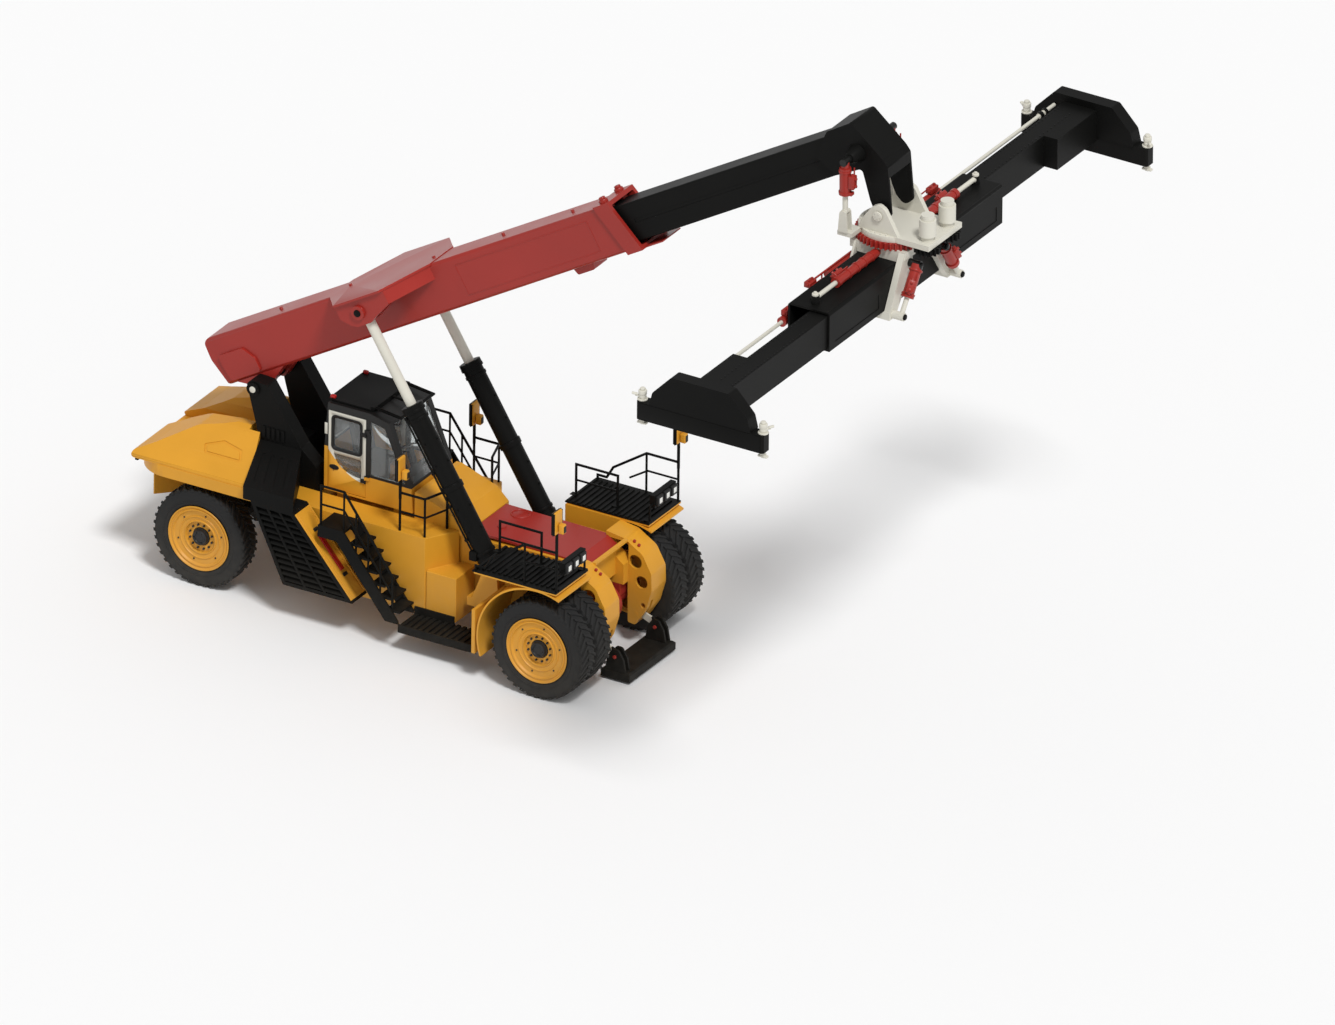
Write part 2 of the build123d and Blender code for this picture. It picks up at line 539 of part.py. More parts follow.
# Front fenders: rolled plates over the twin tyres, with a ribbed platform on top.
fender_r, fender_in_y, fender_out_y = 1080, 950, 1950
platform_z = 2010
ring = pin(0, tyre_r, fender_r + sheet, -fender_out_y, -fender_in_y)
ring -= pin(0, tyre_r, fender_r, -fender_out_y - 1, -fender_in_y + 1)
keep = side_prism([(-1300, 480), (-1300, 2100), (420, 2100), (420, 1860), (0, tyre_r + 200),
                   (-600, 540)], -fender_out_y - 1, -fender_in_y + 1)
fender = ring & keep
fender_wall = side_prism([(-1180, 540), (-1180, platform_z - 40), (-165, platform_z - 40),
                          (-165, 540)], -fender_in_y - 1, -fender_in_y + 29)
fender_wall -= pin(0, tyre_r, 420, -fender_out_y, 0)
fender = fender + fender_wall
fender += block(-1200, -1140, -fender_out_y, -fender_in_y + 29, 520, 1300)
fender += block(-1170, 370, -fender_out_y, -fender_in_y, platform_z - 50, platform_z - 25)
save("front_fenders", *pair(fender))
deck_plate = block(-1200, 370, -fender_out_y, -fender_in_y + 5, platform_z - 25 + seat_gap,
                   platform_z)
grip_ribs = 16
rib_h = 22
for index in range(grip_ribs):
    x = -1180 + index * 1500 / (grip_ribs - 1)
    deck_plate += block(x, x + 45, -fender_out_y + 100, -fender_in_y, platform_z - 5,
                        platform_z + rib_h)
save("fender_platforms", *pair(deck_plate))

# Guard rails of the platforms, with the lamp boxes and mirrors that they carry.
out_y, in_y = -1900, -1190
post_r, mast_r = rail_r * 0.9, rail_r * 1.2
rim_z = platform_z + seat_gap
rib_z = platform_z + rib_h + seat_gap
guards = [rail([(345, out_y, rim_z), (345, out_y, 2710), (-250, out_y, 2710),
                (-870, out_y, 2290), (-990, out_y, 2080), (-1160, out_y, 2080),
                (-1160, out_y, rim_z)]),
          rail([(345, out_y, 2400), (-230, out_y, 2400), (-560, out_y, 2190)], mid_rail_r),
          rail([(-250, out_y, rim_z), (-250, out_y, 2705)], post_r),
          rail([(345, out_y, 2600), (345, out_y, 3120)], mast_r),
          rail([(-360, in_y, rib_z), (-360, in_y, 2580), (-1140, in_y, 2580),
                (-1140, in_y, rib_z)]),
          rail([(-360, in_y, 2300), (-1140, in_y, 2300)], mid_rail_r),
          rail([(345, out_y, 2300), (345, -1020, 2300), (345, -1020, rib_z)], post_r)]
for x, y in ((-360, in_y), (-1140, in_y), (345, -1020)):
    guards.append(block(x - 90, x + 25, y - 50, y + 50, rib_z, rib_z + 10))
lamp_box = block(300, 400, -1740, -1080, 2240, 2460)
for y in (-1640, -1420, -1200):
    lamp_box += bar((395, y, 2350), (440, y, 2350), 75)
mirror_head = block(315, 375, out_y - 130, out_y + 130, 3080, 3460)
guard = Part()
for piece in guards + [lamp_box, mirror_head]:
    guard += piece
save("platform_guards", *pair(guard))

# Ledge rails beside the cab, with their mirrors.
ledge_y = -1155
ledge_rail = [rail([(-3030, ledge_y, ledge_z + seat_gap), (-3030, ledge_y, 2570),
                    (-2565, ledge_y, 2570), (-2420, -700, 2570), (-2420, -700, ledge_z + seat_gap)]),
              rail([(-3030, ledge_y, 2230), (-2565, ledge_y, 2230), (-2420, -700, 2230)],
                   mid_rail_r),
              rail([(-2565, ledge_y, ledge_z + seat_gap), (-2565, ledge_y, 2565)], post_r),
              rail([(-3030, ledge_y, 2460), (-3030, ledge_y, 2840)], mast_r),
              block(-3060, -3005, ledge_y - 120, ledge_y + 120, 2820, 3200)]
save("ledge_rails", *pair(Part() + ledge_rail))

# ---------------------------------------------------------------- cab
# Shell: floor, rear wall, belt panels and the posts that carry the roof, open at the doors.
cab_side = [(cab_rear_x, cab_floor_z), (cab_rear_x, 2720), (cab_rear_x + 60, roof_z - 40),
            (-3900, roof_z - 40), (-3560, 3440), (cab_front_x, belt_z), (cab_front_x + 30, cab_floor_z)]
cab_hollow_side = [(cab_rear_x + cab_wall, cab_floor_z + cab_wall),
                   (cab_rear_x + cab_wall, 2700), (cab_rear_x + 60 + cab_wall, roof_z - 80),
                   (-3920, roof_z - 80), (-3600, 3400), (cab_front_x - cab_wall, belt_z - 10),
                   (cab_front_x - cab_wall + 20, cab_floor_z + cab_wall)]
shell = side_prism(cab_side, -cab_y, cab_y)
shell -= side_prism(cab_hollow_side, -cab_y + cab_wall, cab_y - cab_wall)
door_side = [(door_rear_x, door_low_z), (door_rear_x, door_high_z), (door_front_x, door_high_z),
             (door_front_x, door_low_z)]
hinge_x, hinge_y, hinge_r = door_front_x + door_gap / 2, -cab_y - 20, 15
hinge_zs = (2250, 3080)
hinge_h = 70


def grown(points, margin):
    """The same outline, larger by a margin all round."""
    face = offset(outline(points), margin, kind=Kind.INTERSECTION)
    return face


def side_cut(face, y_a, y_b):
    return extrude(Plane.XZ.offset(-max(y_a, y_b)) * face, abs(y_b - y_a))


front_side_window = [(door_front_x + 90, belt_z + 40), (door_front_x + 90, 3380),
                     (-3640, 3330), (cab_front_x - 100, belt_z + 40)]
rear_window = [(-480, 2780), (480, 2780), (480, 3400), (-480, 3400)]
windscreen = [(-560, belt_z + 30), (560, belt_z + 30), (520, 3390), (-520, 3390)]
for side in (-1, 1):
    wall_span = (side * (cab_y - cab_wall - 5), side * (cab_y + 5))
    shell -= side_cut(grown(door_side, door_gap), *wall_span)
    shell -= side_prism(front_side_window, *wall_span)
shell -= front_prism(rear_window, cab_rear_x - 5, cab_rear_x + 200)
shell -= front_prism(windscreen, -3900, cab_front_x + 5)
roof = plan_prism([(-4740, -roof_y), (-4740, roof_y), (-3880, roof_y), (-3880, -roof_y)],
                  roof_z - 40 + seat_gap, roof_z)
roof = fillet(roof.edges().filter_by(Axis.Z), 90)
guard_z = roof_z + 22
guard_bars = [rail([(-3890, -roof_y + 60, guard_z), (-3420, -roof_y + 60, guard_z - 60),
                    (-3420, roof_y - 60, guard_z - 60), (-3890, roof_y - 60, guard_z)], 28),
              rail([(-3890, 0, guard_z), (-3430, 0, guard_z - 59)], 20)]
guard_bars.append(block(-3960, -3880, -roof_y + 20, roof_y - 20, roof_z - 1, guard_z + 20))
hinges = []
for side in (-1, 1):
    for z in hinge_zs:
        z_low, z_high = z + hinge_h + seat_gap, z + 2 * hinge_h
        hinges.append(bar((hinge_x, side * -hinge_y, z_low), (hinge_x, side * -hinge_y, z_high),
                          hinge_r))
        hinges.append(block(hinge_x, hinge_x + 80, side * (-hinge_y + 4), side * (cab_y - 1),
                            z_low, z_high))
save("cab_shell", Part() + [shell] + hinges)
save("cab_roof", Part() + [roof] + guard_bars)

glass_t = 10


def pane(points, gap=seat_gap):
    return offset(outline(points), -gap, kind=Kind.INTERSECTION)


side_glass = [side_cut(pane(front_side_window), s * (cab_y - 22) - glass_t / 2,
                       s * (cab_y - 22) + glass_t / 2) for s in (-1, 1)]
rear_glass = extrude(Plane.YZ.offset(cab_rear_x + 30) * pane(rear_window), glass_t)


def screen_x(z):
    """Outer face of the leaning windscreen frame at height z."""
    return cab_front_x + (z - belt_z) * (-3560 - cab_front_x) / (3440 - belt_z)


screen_glass = front_prism([(-559, belt_z + 31), (559, belt_z + 31), (519, 3389), (-519, 3389)],
                           -3900, cab_front_x)
screen_glass &= side_prism([(screen_x(z) - d, z) for z, d in
                            ((belt_z, 30), (3420, 30), (3420, 20), (belt_z, 20))], -cab_y, cab_y)
save("cab_glass", side_glass[0], side_glass[1], rear_glass, screen_glass)

# Doors: one whole leaf on each side, its wall as thick as the cab's, with two windows.
pane_rear, pane_front = door_rear_x + 80, door_front_x - 80
upper_pane = outline([(pane_rear, 2720), (pane_rear, 3310), (pane_front, 3310), (pane_front, 2720)],
                     radius=70)
# the lower pane's long side is an arc that falls forwards along the door's painted skin
pane_high, pane_low = 2640, 2300
pane_arc = ThreePointArc((pane_rear + 30, pane_high), (pane_rear + 190, pane_low + 130),
                         (pane_front, pane_low))
lower_pane = make_face([pane_arc, Line((pane_front, pane_low), (pane_front, pane_high)),
                        Line((pane_front, pane_high), (pane_rear + 30, pane_high))])
leaf = side_prism(door_side, -cab_y, -cab_y + cab_wall)
for window in (upper_pane, lower_pane):
    leaf -= side_cut(window, -cab_y - 5, -cab_y + cab_wall + 5)
    leaf += side_cut(window, -cab_y + 18, -cab_y + 18 + glass_t)
handle = rail([(-4630, -cab_y + 5, 2300), (-4630, -cab_y - 45, 2300), (-4630, -cab_y - 45, 2500),
               (-4630, -cab_y + 5, 2500)], 12)
for z in hinge_zs:
    leaf += bar((hinge_x, hinge_y, z), (hinge_x, hinge_y, z + hinge_h), hinge_r)
    leaf += block(hinge_x, hinge_x - 90, hinge_y - 4, -cab_y + 1, z, z + hinge_h)
leaf = leaf + handle
save("cab_door_right", leaf)
save("cab_door_left", left_of(leaf))

# Seat and console inside the cab.
cushion = block(-4420, -3920, -250, 250, 2330, 2450)
back = side_prism([(-4440, 2440), (-4560, 3080), (-4460, 3080), (-4320, 2440)], -240, 240)
seat_base = block(-4330, -4010, -180, 180, cab_floor_z + cab_wall + seat_gap, 2331)
save("seat", Part() + [cushion, back, seat_base])
column = side_prism([(-3350, cab_floor_z + cab_wall + seat_gap), (-3590, 2728), (-3530, 2750),
                     (-3260, cab_floor_z + cab_wall + seat_gap)], -60, 60)
wheel_rim = Plane(origin=(-3560, 0, 2740), z_dir=(-0.35, 0, 0.94)) * (Cylinder(190, 24)
                                                                       - Cylinder(166, 24))
spokes = Plane(origin=(-3560, 0, 2740), z_dir=(-0.35, 0, 0.94)) * Box(360, 30, 12)
dash = side_prism([(-3230, 2330), (-3230, 2480), (-3400, 2520), (-3420, 2330)], -420, 420)
dash_foot = block(-3330, -3240, -400, 400, cab_floor_z + cab_wall + seat_gap, 2335)
save("console", Part() + [column, wheel_rim, spokes, dash, dash_foot])

# ---------------------------------------------------------------- boom
# Outer boom: a rounded box section with a curved tail, closed at the back.
boom_top_n = boom_bottom_n + boom_h
tail_side = [(-656, boom_bottom_n), (-773, 610), (-750, boom_top_n),
             (mouth_s - 10, boom_top_n), (mouth_s + mouth_rake, boom_bottom_n)]
outer = boom_box(-800, 8400, boom_w / 2, boom_bottom_n, boom_top_n, boom_corner_r)
outer &= boom_prism(tail_side, -boom_w, boom_w, radius=[60, 300, 120, 1, 1])
outer -= boom_box(-420, 8500, boom_w / 2 - boom_wall, boom_bottom_n + boom_wall,
                  boom_top_n - boom_wall, boom_corner_r - boom_wall)
pivot_side = [(-480, boom_bottom_n + 20), (-150, -40), (0, -150), (150, -60), (520, boom_bottom_n + 20)]
pivot_y = tower_in_y - clearance
pivot_lug = boom_prism(pivot_side, -pivot_y, pivot_y, radius=[1, 100, 90, 100, 1])
pivot_lug -= pin(pivot_x, pivot_z, pin_r + seat_gap, -pivot_y - 5, pivot_y + 5)
pivot_lug -= boom_prism([(-600, -300), (-600, boom_bottom_n - 20), (700, boom_bottom_n - 20),
                         (700, -300)], -180, 180)
cheek_box = boom_prism([(-560, 180), (-600, 640), (-80, 640), (80, 420), (80, 180)],
                       -boom_w / 2 - 40, boom_w / 2 + 40, radius=[60, 60, 90, 90, 60])
cheek_box -= boom_prism([(-700, 0), (-700, 900), (200, 900), (200, 0)], -boom_w / 2 + 20,
                        boom_w / 2 - 20)
# Trunnion: the top plate widens to two cheeks that hold the lift cylinders' pins.
flare_top = [(2000, 360), (2590, 1120), (3560, 1120), (4160, 360), (4160, -360), (3560, -1120),
             (2590, -1120), (2000, -360)]
top_plate = boom_top_prism(flare_top, boom_top_n - boom_wall + 5, boom_top_n + 12)
cheek_side = [(2560, boom_top_n - 5), (2560, 700), (2700, 560), (2820, 500), (3110, 500), (3230, 560),
              (3600, 700), (3600, boom_top_n - 5)]
outer_cheek_y = -lift_y - lift_barrel_r * 0.6 - seat_gap
cheek = boom_prism(cheek_side, -cheek_y, outer_cheek_y, radius=[1, 60, 60, 60, 60, 60, 60, 1])
cheek += bar((on_boom(trunnion_s, trunnion_n)[0], -cheek_y - 45, on_boom(trunnion_s, trunnion_n)[1]),
             (on_boom(trunnion_s, trunnion_n)[0], -cheek_y + 5, on_boom(trunnion_s, trunnion_n)[1]),
             120)
web_t = 40
webs = []
for s_wall, s_cheek in ((2030, 2560), (4130, 3600)):
    web = boom_top_prism([(s_wall, -boom_w / 2 + 10), (s_cheek, -cheek_y + 5),
                          (s_cheek + (web_t if s_cheek < 3000 else -web_t), -cheek_y + 5),
                          (s_wall + (web_t + 25 if s_cheek < 3000 else -web_t - 25), -boom_w / 2 + 10)],
                         700, boom_top_n - 30)
    webs.append(web)
# Collar: a thicker frame round the mouth, raked like it, with a tray under the inner boom.
collar_grow = 40
collar_side = [(7720, boom_top_n + collar_grow), (mouth_s, boom_top_n + collar_grow),
               (mouth_s + mouth_rake, boom_bottom_n - 10), (mouth_s + 600, boom_bottom_n - 20),
               (mouth_s + 600, boom_bottom_n - collar_grow), (7960, boom_bottom_n - collar_grow)]
collar = boom_prism(collar_side, -boom_w / 2 - collar_grow, boom_w / 2 + collar_grow)
collar -= boom_box(7000, 9500, boom_w / 2 - boom_wall, boom_bottom_n + boom_wall,
                   boom_top_n - boom_wall, boom_corner_r - boom_wall)
collar -= boom_prism([(mouth_s + mouth_rake + 5, boom_bottom_n - 9), (mouth_s + 610, boom_bottom_n - 9),
                      (mouth_s + 610, 500), (mouth_s + mouth_rake + 5, 500)], -800, 800)
collar -= boom_prism([(mouth_s + mouth_rake + 5, boom_bottom_n - 300),
                      (mouth_s + 650, boom_bottom_n - 300), (mouth_s + 650, 500),
                      (mouth_s + mouth_rake + 5, 500)], 280, 800)
collar -= boom_prism([(mouth_s + mouth_rake + 5, boom_bottom_n - 300),
                      (mouth_s + 650, boom_bottom_n - 300), (mouth_s + 650, 500),
                      (mouth_s + mouth_rake + 5, 500)], -800, -280)
rest_side = [(6650, boom_bottom_n + 10), (6700, -10), (7050, -10), (7100, boom_bottom_n + 10)]
rest_block = boom_prism(rest_side, -200, 200, radius=[1, 40, 40, 1])
studs = []
for index in range(5):
    x, z = on_boom(700 + index * 1500 + (300 if index > 1 else 0), boom_top_n - 5)
    studs.append(extrude(Plane(origin=(x, 0, z), z_dir=boom_plane.y_dir) * Circle(28), 45))
# Wear pads inside the mouth that carry the inner boom.
pads = []
inner_top_n = inner_bottom_n + inner_h
for n_low, n_high in ((boom_bottom_n + boom_wall - 1, inner_bottom_n - seat_gap),
                      (inner_top_n + seat_gap, boom_top_n - boom_wall + 1)):
    for y in (-200, 200):
        pads.append(boom_prism([(7500, n_low), (7500, n_high), (7950, n_high), (7950, n_low)],
                               y - 60, y + 60))
for side in (-1, 1):
    y_a, y_b = sorted((side * (inner_w / 2 + seat_gap), side * (boom_w / 2 - boom_wall + 1)))
    pads.append(boom_prism([(7500, 330), (7500, 750), (7950, 750), (7950, 330)], y_a, y_b))
outer_boom = Part() + [outer, pivot_lug, cheek_box, top_plate] + pair(cheek) + webs
outer_boom = outer_boom + [left_of(web) for web in webs] + [collar, rest_block] + studs + pads
inner_cheek_y = -lift_y + lift_barrel_r * 0.6 + seat_gap
inner_cheek = boom_prism(cheek_side, inner_cheek_y, inner_cheek_y + cheek_t,
                         radius=[1, 60, 60, 60, 60, 60, 60, 1])
outer_boom = outer_boom + pair(inner_cheek)
save("boom_outer", outer_boom)

# Inner boom: a smaller hollow section, with slide shoes at its rear end.
inner = boom_box(inner_rear_s, inner_front_s, inner_w / 2, inner_bottom_n, inner_top_n, 40)
inner -= boom_box(inner_rear_s - 10, inner_front_s - 200, inner_w / 2 - boom_wall,
                  inner_bottom_n + boom_wall, inner_top_n - boom_wall, 12)
for y in (-200, 200):
    for n_low, n_high in ((boom_bottom_n + boom_wall + seat_gap, inner_bottom_n + 1),
                          (inner_top_n - 1, boom_top_n - boom_wall - seat_gap)):
        inner += boom_prism([(inner_rear_s + 40, n_low), (inner_rear_s + 40, n_high),
                             (inner_rear_s + 420, n_high), (inner_rear_s + 420, n_low)],
                            y - 60, y + 60)
groove_s, groove_depth = (8300, 12300), 9
for side in (-1, 1):
    inner -= boom_prism([(groove_s[0], 520), (groove_s[0], 590), (groove_s[1], 590),
                         (groove_s[1], 520)], side * (inner_w / 2 - groove_depth),
                        side * (inner_w / 2 + 1))
save("boom_inner", inner)

# Head: two side plates under a sloping cover, drooping to the pin that carries the spreader.
head_outline = [(4380, 10730), (4830, 11010), (5440, 10500), (5530, 10390), (5610, 9550),
                (head_x, head_z - 170), (5290, 9550), (5210, 9720), (5050, 10240), (4560, 9990),
                (4180, 10230)]
head = side_prism(head_outline, -head_half_y, head_half_y,
                  radius=[40, 60, 60, 60, 60, 110, 60, 60, 60, 60, 40])
head_hollow = [(4490, 10060), (4490, 10690), (4500, 10700), (4820, 10950), (5400, 10470), (5480, 10370),
               (5500, 10200), (5700, 10200), (5700, 9300), (5000, 9300), (4900, 10140),
               (4560, 9900)]
head -= side_prism(head_hollow, -head_half_y + head_plate_t, head_half_y - head_plate_t)
for side in (-1, 1):
    y_a, y_b = sorted((side * (head_half_y - 5), side * (ear_out_y + 25)))
    head_pin = pin(head_x, head_z, 62, y_a, y_b)
    damper_boss = pin(damper_top_x, damper_top_z, 60, *sorted((side * (head_half_y - 5),
                                                              side * (damper_y - 0.8 * damper_r - seat_gap))))
    cone = Pos(damper_top_x, side * (head_half_y + 60), damper_top_z) * Rot(side * -90, 0, 0)
    head = head + head_pin + damper_boss + cone * Cone(110, 70, 130)
save("boom_head", head - boom_box(0, inner_front_s + 1, inner_w / 2 + seat_gap, inner_bottom_n - seat_gap,
                                  inner_top_n + seat_gap, 40))

# ---------------------------------------------------------------- cylinders

def cylinder_pair(name, low, high, y, barrel_r, barrel_len, rod_r, rod_len, eye_r, bands):
    """Barrel and rod of one cylinder on each side, from its first pin to its second one."""
    for side, hand in ((-1, "right"), (1, "left")):
        foot = Vector(low[0], side * y, low[1])
        top = Vector(high[0], side * y, high[1])
        way = (top - foot).normalized()
        neck = eye_r + 45
        tube = bar(foot + way * neck, foot + way * barrel_len, barrel_r)
        tube += bar(foot, foot + way * (neck + 1), barrel_r * 0.7)
        for place in bands:
            tube += bar(foot + way * place, foot + way * (place + barrel_r * 0.45), barrel_r * 1.12)
        tube -= bar(foot + way * (neck + 20), foot + way * (barrel_len + 10), rod_r + 2)
        tube += pin(low[0], low[1], eye_r, side * y - barrel_r * 0.8, side * y + barrel_r * 0.8)
        save(f"{name}_barrel_{hand}", tube)
        stem = bar(top - way * rod_len, top, rod_r)
        stem += pin(high[0], high[1], rod_r + 5, side * y - barrel_r * 0.6,
                    side * y + barrel_r * 0.6)
        save(f"{name}_rod_{hand}", stem)


cylinder_pair("lift", (lift_x, lift_z), on_boom(trunnion_s, trunnion_n), lift_y,
              lift_barrel_r, lift_barrel_len, lift_rod_r, lift_rod_len, 130,
              (lift_barrel_len - 80, lift_barrel_len * 0.5, 260))

# ---------------------------------------------------------------- rotator and saddle
# Rotator frame: a base ring with two arched ears on the head's pin and arms for the dampers.
base = Pos(slew_x, 0, ring_high_z + seat_gap) * Cylinder(ring_r - 20, rotator_base_z - ring_high_z - seat_gap,
                                                  align=(Align.CENTER, Align.CENTER, Align.MIN))
motor_deck = block(slew_x, slew_x + motor_x + 150, -520, 520, ring_high_z + clearance, rotator_base_z)
ear_side = [(5080, rotator_base_z - 5), (5130, 9420), (5330, 9700), (5450, 9760), (5570, 9700),
            (5740, 9400), (5820, rotator_base_z - 5)]
rotator = base + motor_deck
for side in (-1, 1):
    y_a, y_b = sorted((side * ear_in_y, side * ear_out_y))
    rotator += side_prism(ear_side, y_a, y_b, radius=[1, 60, 120, 80, 120, 80, 1])
    arm_a, arm_b = sorted((side * 480, side * (damper_y + 60)))
    rotator += block(damper_low_x - 110, damper_low_x + 160, arm_a, arm_b, rotator_base_z - 80,
                     rotator_base_z - 2)
    for y in (damper_y - 0.6 * damper_r - seat_gap - 25, damper_y + 0.6 * damper_r + seat_gap):
        rotator += side_prism([(damper_low_x - 90, rotator_base_z - 5), (damper_low_x - 60, 9640),
                               (damper_low_x + 60, 9640), (damper_low_x + 90, rotator_base_z - 5)],
                              side * y, side * (y + 25), radius=[1, 50, 50, 1])
    rotator -= pin(head_x, head_z, 62 + seat_gap, *sorted((side * (ear_in_y - 5), side * 700)))
    for y in (-motor_y, motor_y):
        rotator -= Pos(slew_x + motor_x, y, rotator_base_z) * Cylinder(60, 400)
save("rotator_frame", rotator)

motors = []
for y in (-motor_y, motor_y):
    place = Pos(slew_x + motor_x, y, 0)
    stack = [  # (lower z, upper z, radius)
        (rotator_base_z + seat_gap, 9360, 105), (9355, 9640, 140), (9635, 9725, 110)]
    motor = Part() + [place * (Pos(0, 0, low) * Cylinder(r, high - low, align=(
        Align.CENTER, Align.CENTER, Align.MIN))) for low, high, r in stack]
    motors.append(motor)
save("slew_motors", *motors)

# Slewing gears: the motors' pinions mesh with the ring gear that carries the saddle.
ring_teeth, pinion_teeth = 48, 15
pressure_angle = 20
backlash = 0.12         # of the tooth's thickness, so that the flanks run clear
gear_module = 2 * hypot(motor_x, motor_y) / (ring_teeth + pinion_teeth)


def involute(angle):
    return tan(angle) - angle


def gear_outline(teeth, phase):
    """The face of a spur gear, one tooth's middle at the phase angle in degrees."""
    pitch_r = teeth * gear_module / 2
    base_r = pitch_r * cos(radians(pressure_angle))
    half_tooth = (pi / 2 * (1 - backlash) / teeth) + involute(radians(pressure_angle))
    points = []
    for index in range(teeth):
        middle = radians(phase) + index * 2 * pi / teeth
        flank = []
        for radius in (pitch_r - 1.1 * gear_module, pitch_r, pitch_r + 0.8 * gear_module):
            opening = acos(min(1, base_r / radius))
            flank.append((radius, half_tooth - involute(opening)))
        turn = [(r, middle - a) for r, a in flank] + [(r, middle + a) for r, a in reversed(flank)]
        points += [(r * cos(a), r * sin(a)) for r, a in turn]
    return make_face(Polyline(*points, close=True).edges())


ring_low = ring_low_z + seat_gap
motor_angle = degrees(atan2(motor_y, motor_x))
gear = Pos(slew_x, 0, ring_low) * extrude(gear_outline(ring_teeth, -motor_angle),
                                          ring_high_z - ring_low)
save("ring_gear", gear)
tooth_pitch = 360 / ring_teeth
for side, hand in ((-1, "right"), (1, "left")):
    # the ring's tooth nearest to this line of centres, and the pinion's gap that takes it
    off_line = (side * motor_angle + motor_angle) % tooth_pitch
    gap = 180 + side * motor_angle + off_line * ring_teeth / pinion_teeth
    spot = Pos(slew_x + motor_x, side * motor_y, 0)
    pinion = spot * Pos(0, 0, ring_low + 5) * extrude(
        gear_outline(pinion_teeth, gap + 180 / pinion_teeth), ring_high_z - ring_low - 10)
    shaft_len = rotator_base_z - ring_low - 5
    pinion += spot * Pos(0, 0, ring_low + 5) * Cylinder(58, shaft_len, align=(
        Align.CENTER, Align.CENTER, Align.MIN))
    save(f"pinion_{hand}", pinion)

# Saddle: a top plate over the main beam with two slanted legs on each face of it.
saddle_half_y = 560
top = block(slew_x - beam_half_x - 130, slew_x + beam_half_x + 130, -saddle_half_y, saddle_half_y,
            beam_high_z + 60, ring_low_z)
saddle = Part() + [top]
leg_front = [(300, ring_low_z - 5), (560, ring_low_z - 5), (1010, 8140), (1010, 8030), (820, 8030),
             (300, 8800)]
leg_t = 110
leg_face = beam_half_x + clearance
rear_leg_t = 45         # thin, as the telescoping cylinders run behind these legs
for hand in (-1, 1):
    points = [(hand * y, z) for y, z in leg_front]
    saddle += front_prism(points, slew_x - leg_face - rear_leg_t, slew_x - leg_face)
    saddle += front_prism(points, slew_x + leg_face, slew_x + leg_face + leg_t)
    saddle += block(slew_x - leg_face - rear_leg_t, slew_x + leg_face + leg_t, hand * 800,
                    hand * 1010, 8030, beam_low_z - seat_gap)
    saddle += block(slew_x - beam_half_x, slew_x + beam_half_x, hand * 300, hand * 560,
                    beam_high_z + seat_gap, beam_high_z + 61)
save("saddle", saddle)

# Damping cylinders between the head and the rotator's arms.
cylinder_pair("damper", (damper_top_x, damper_top_z), (damper_low_x, damper_low_z), damper_y,
              damper_r, damper_barrel_len, damper_rod_r, damper_rod_len, 62,
              (damper_barrel_len - 50,))

# Slope cylinders: they stand between the saddle's front edge and the feet of its legs.
slopes = []
slope_x = slew_x + leg_face + leg_t + 150
slope_root_x = slew_x + leg_face + leg_t + seat_gap
for hand in (-1, 1):
    top_end = Vector(slope_x, hand * 400, 8830)
    low_end = Vector(slope_x, hand * 900, 8110)
    way = (low_end - top_end).normalized()
    slopes.append(Part() + [
        bar(top_end, top_end + way * 560, 95), bar(top_end + way * 500, top_end + way * 560, 108),
        bar(top_end + way * 550, low_end, 42),
        bar((slope_root_x, low_end.Y, low_end.Z), low_end + Vector(60, 0, 0), 70),
        bar((slope_root_x, top_end.Y, top_end.Z), top_end + Vector(60, 0, 0), 70)])
save("slope_cylinders", *slopes)

# Side-shift cylinders: barrels on the saddle, rods anchored on the main beam's top.
shift_z = beam_high_z + 95
shift_barrel = (620, beam_half_y - 830)     # |y| of its ends
shift_anchor_y = beam_half_y - 200
shift_travel = 500
shift_r, shift_collar_r, shift_rod_r = 78, 88, 40
shifts = []
for hand in (-1, 1):
    tube = bar((slew_x, hand * shift_barrel[0], shift_z), (slew_x, hand * shift_barrel[1], shift_z),
               shift_r)
    for y_a, y_b in ((shift_barrel[1] - 90, shift_barrel[1]), (1210, 1260)):
        tube += bar((slew_x, hand * y_a, shift_z), (slew_x, hand * y_b, shift_z), shift_collar_r)
    tube -= bar((slew_x, hand * (shift_barrel[0] + 60), shift_z),
                (slew_x, hand * (shift_barrel[1] + 5), shift_z), shift_rod_r + 2)
    foot_a, foot_b = sorted((hand * (saddle_half_y + seat_gap), hand * (shift_barrel[0] + 90)))
    tube += block(slew_x - 60, slew_x + 60, foot_a, foot_b, beam_high_z + 70, shift_z + 40)
    shifts.append(tube)
save("shift_cylinders", *shifts)

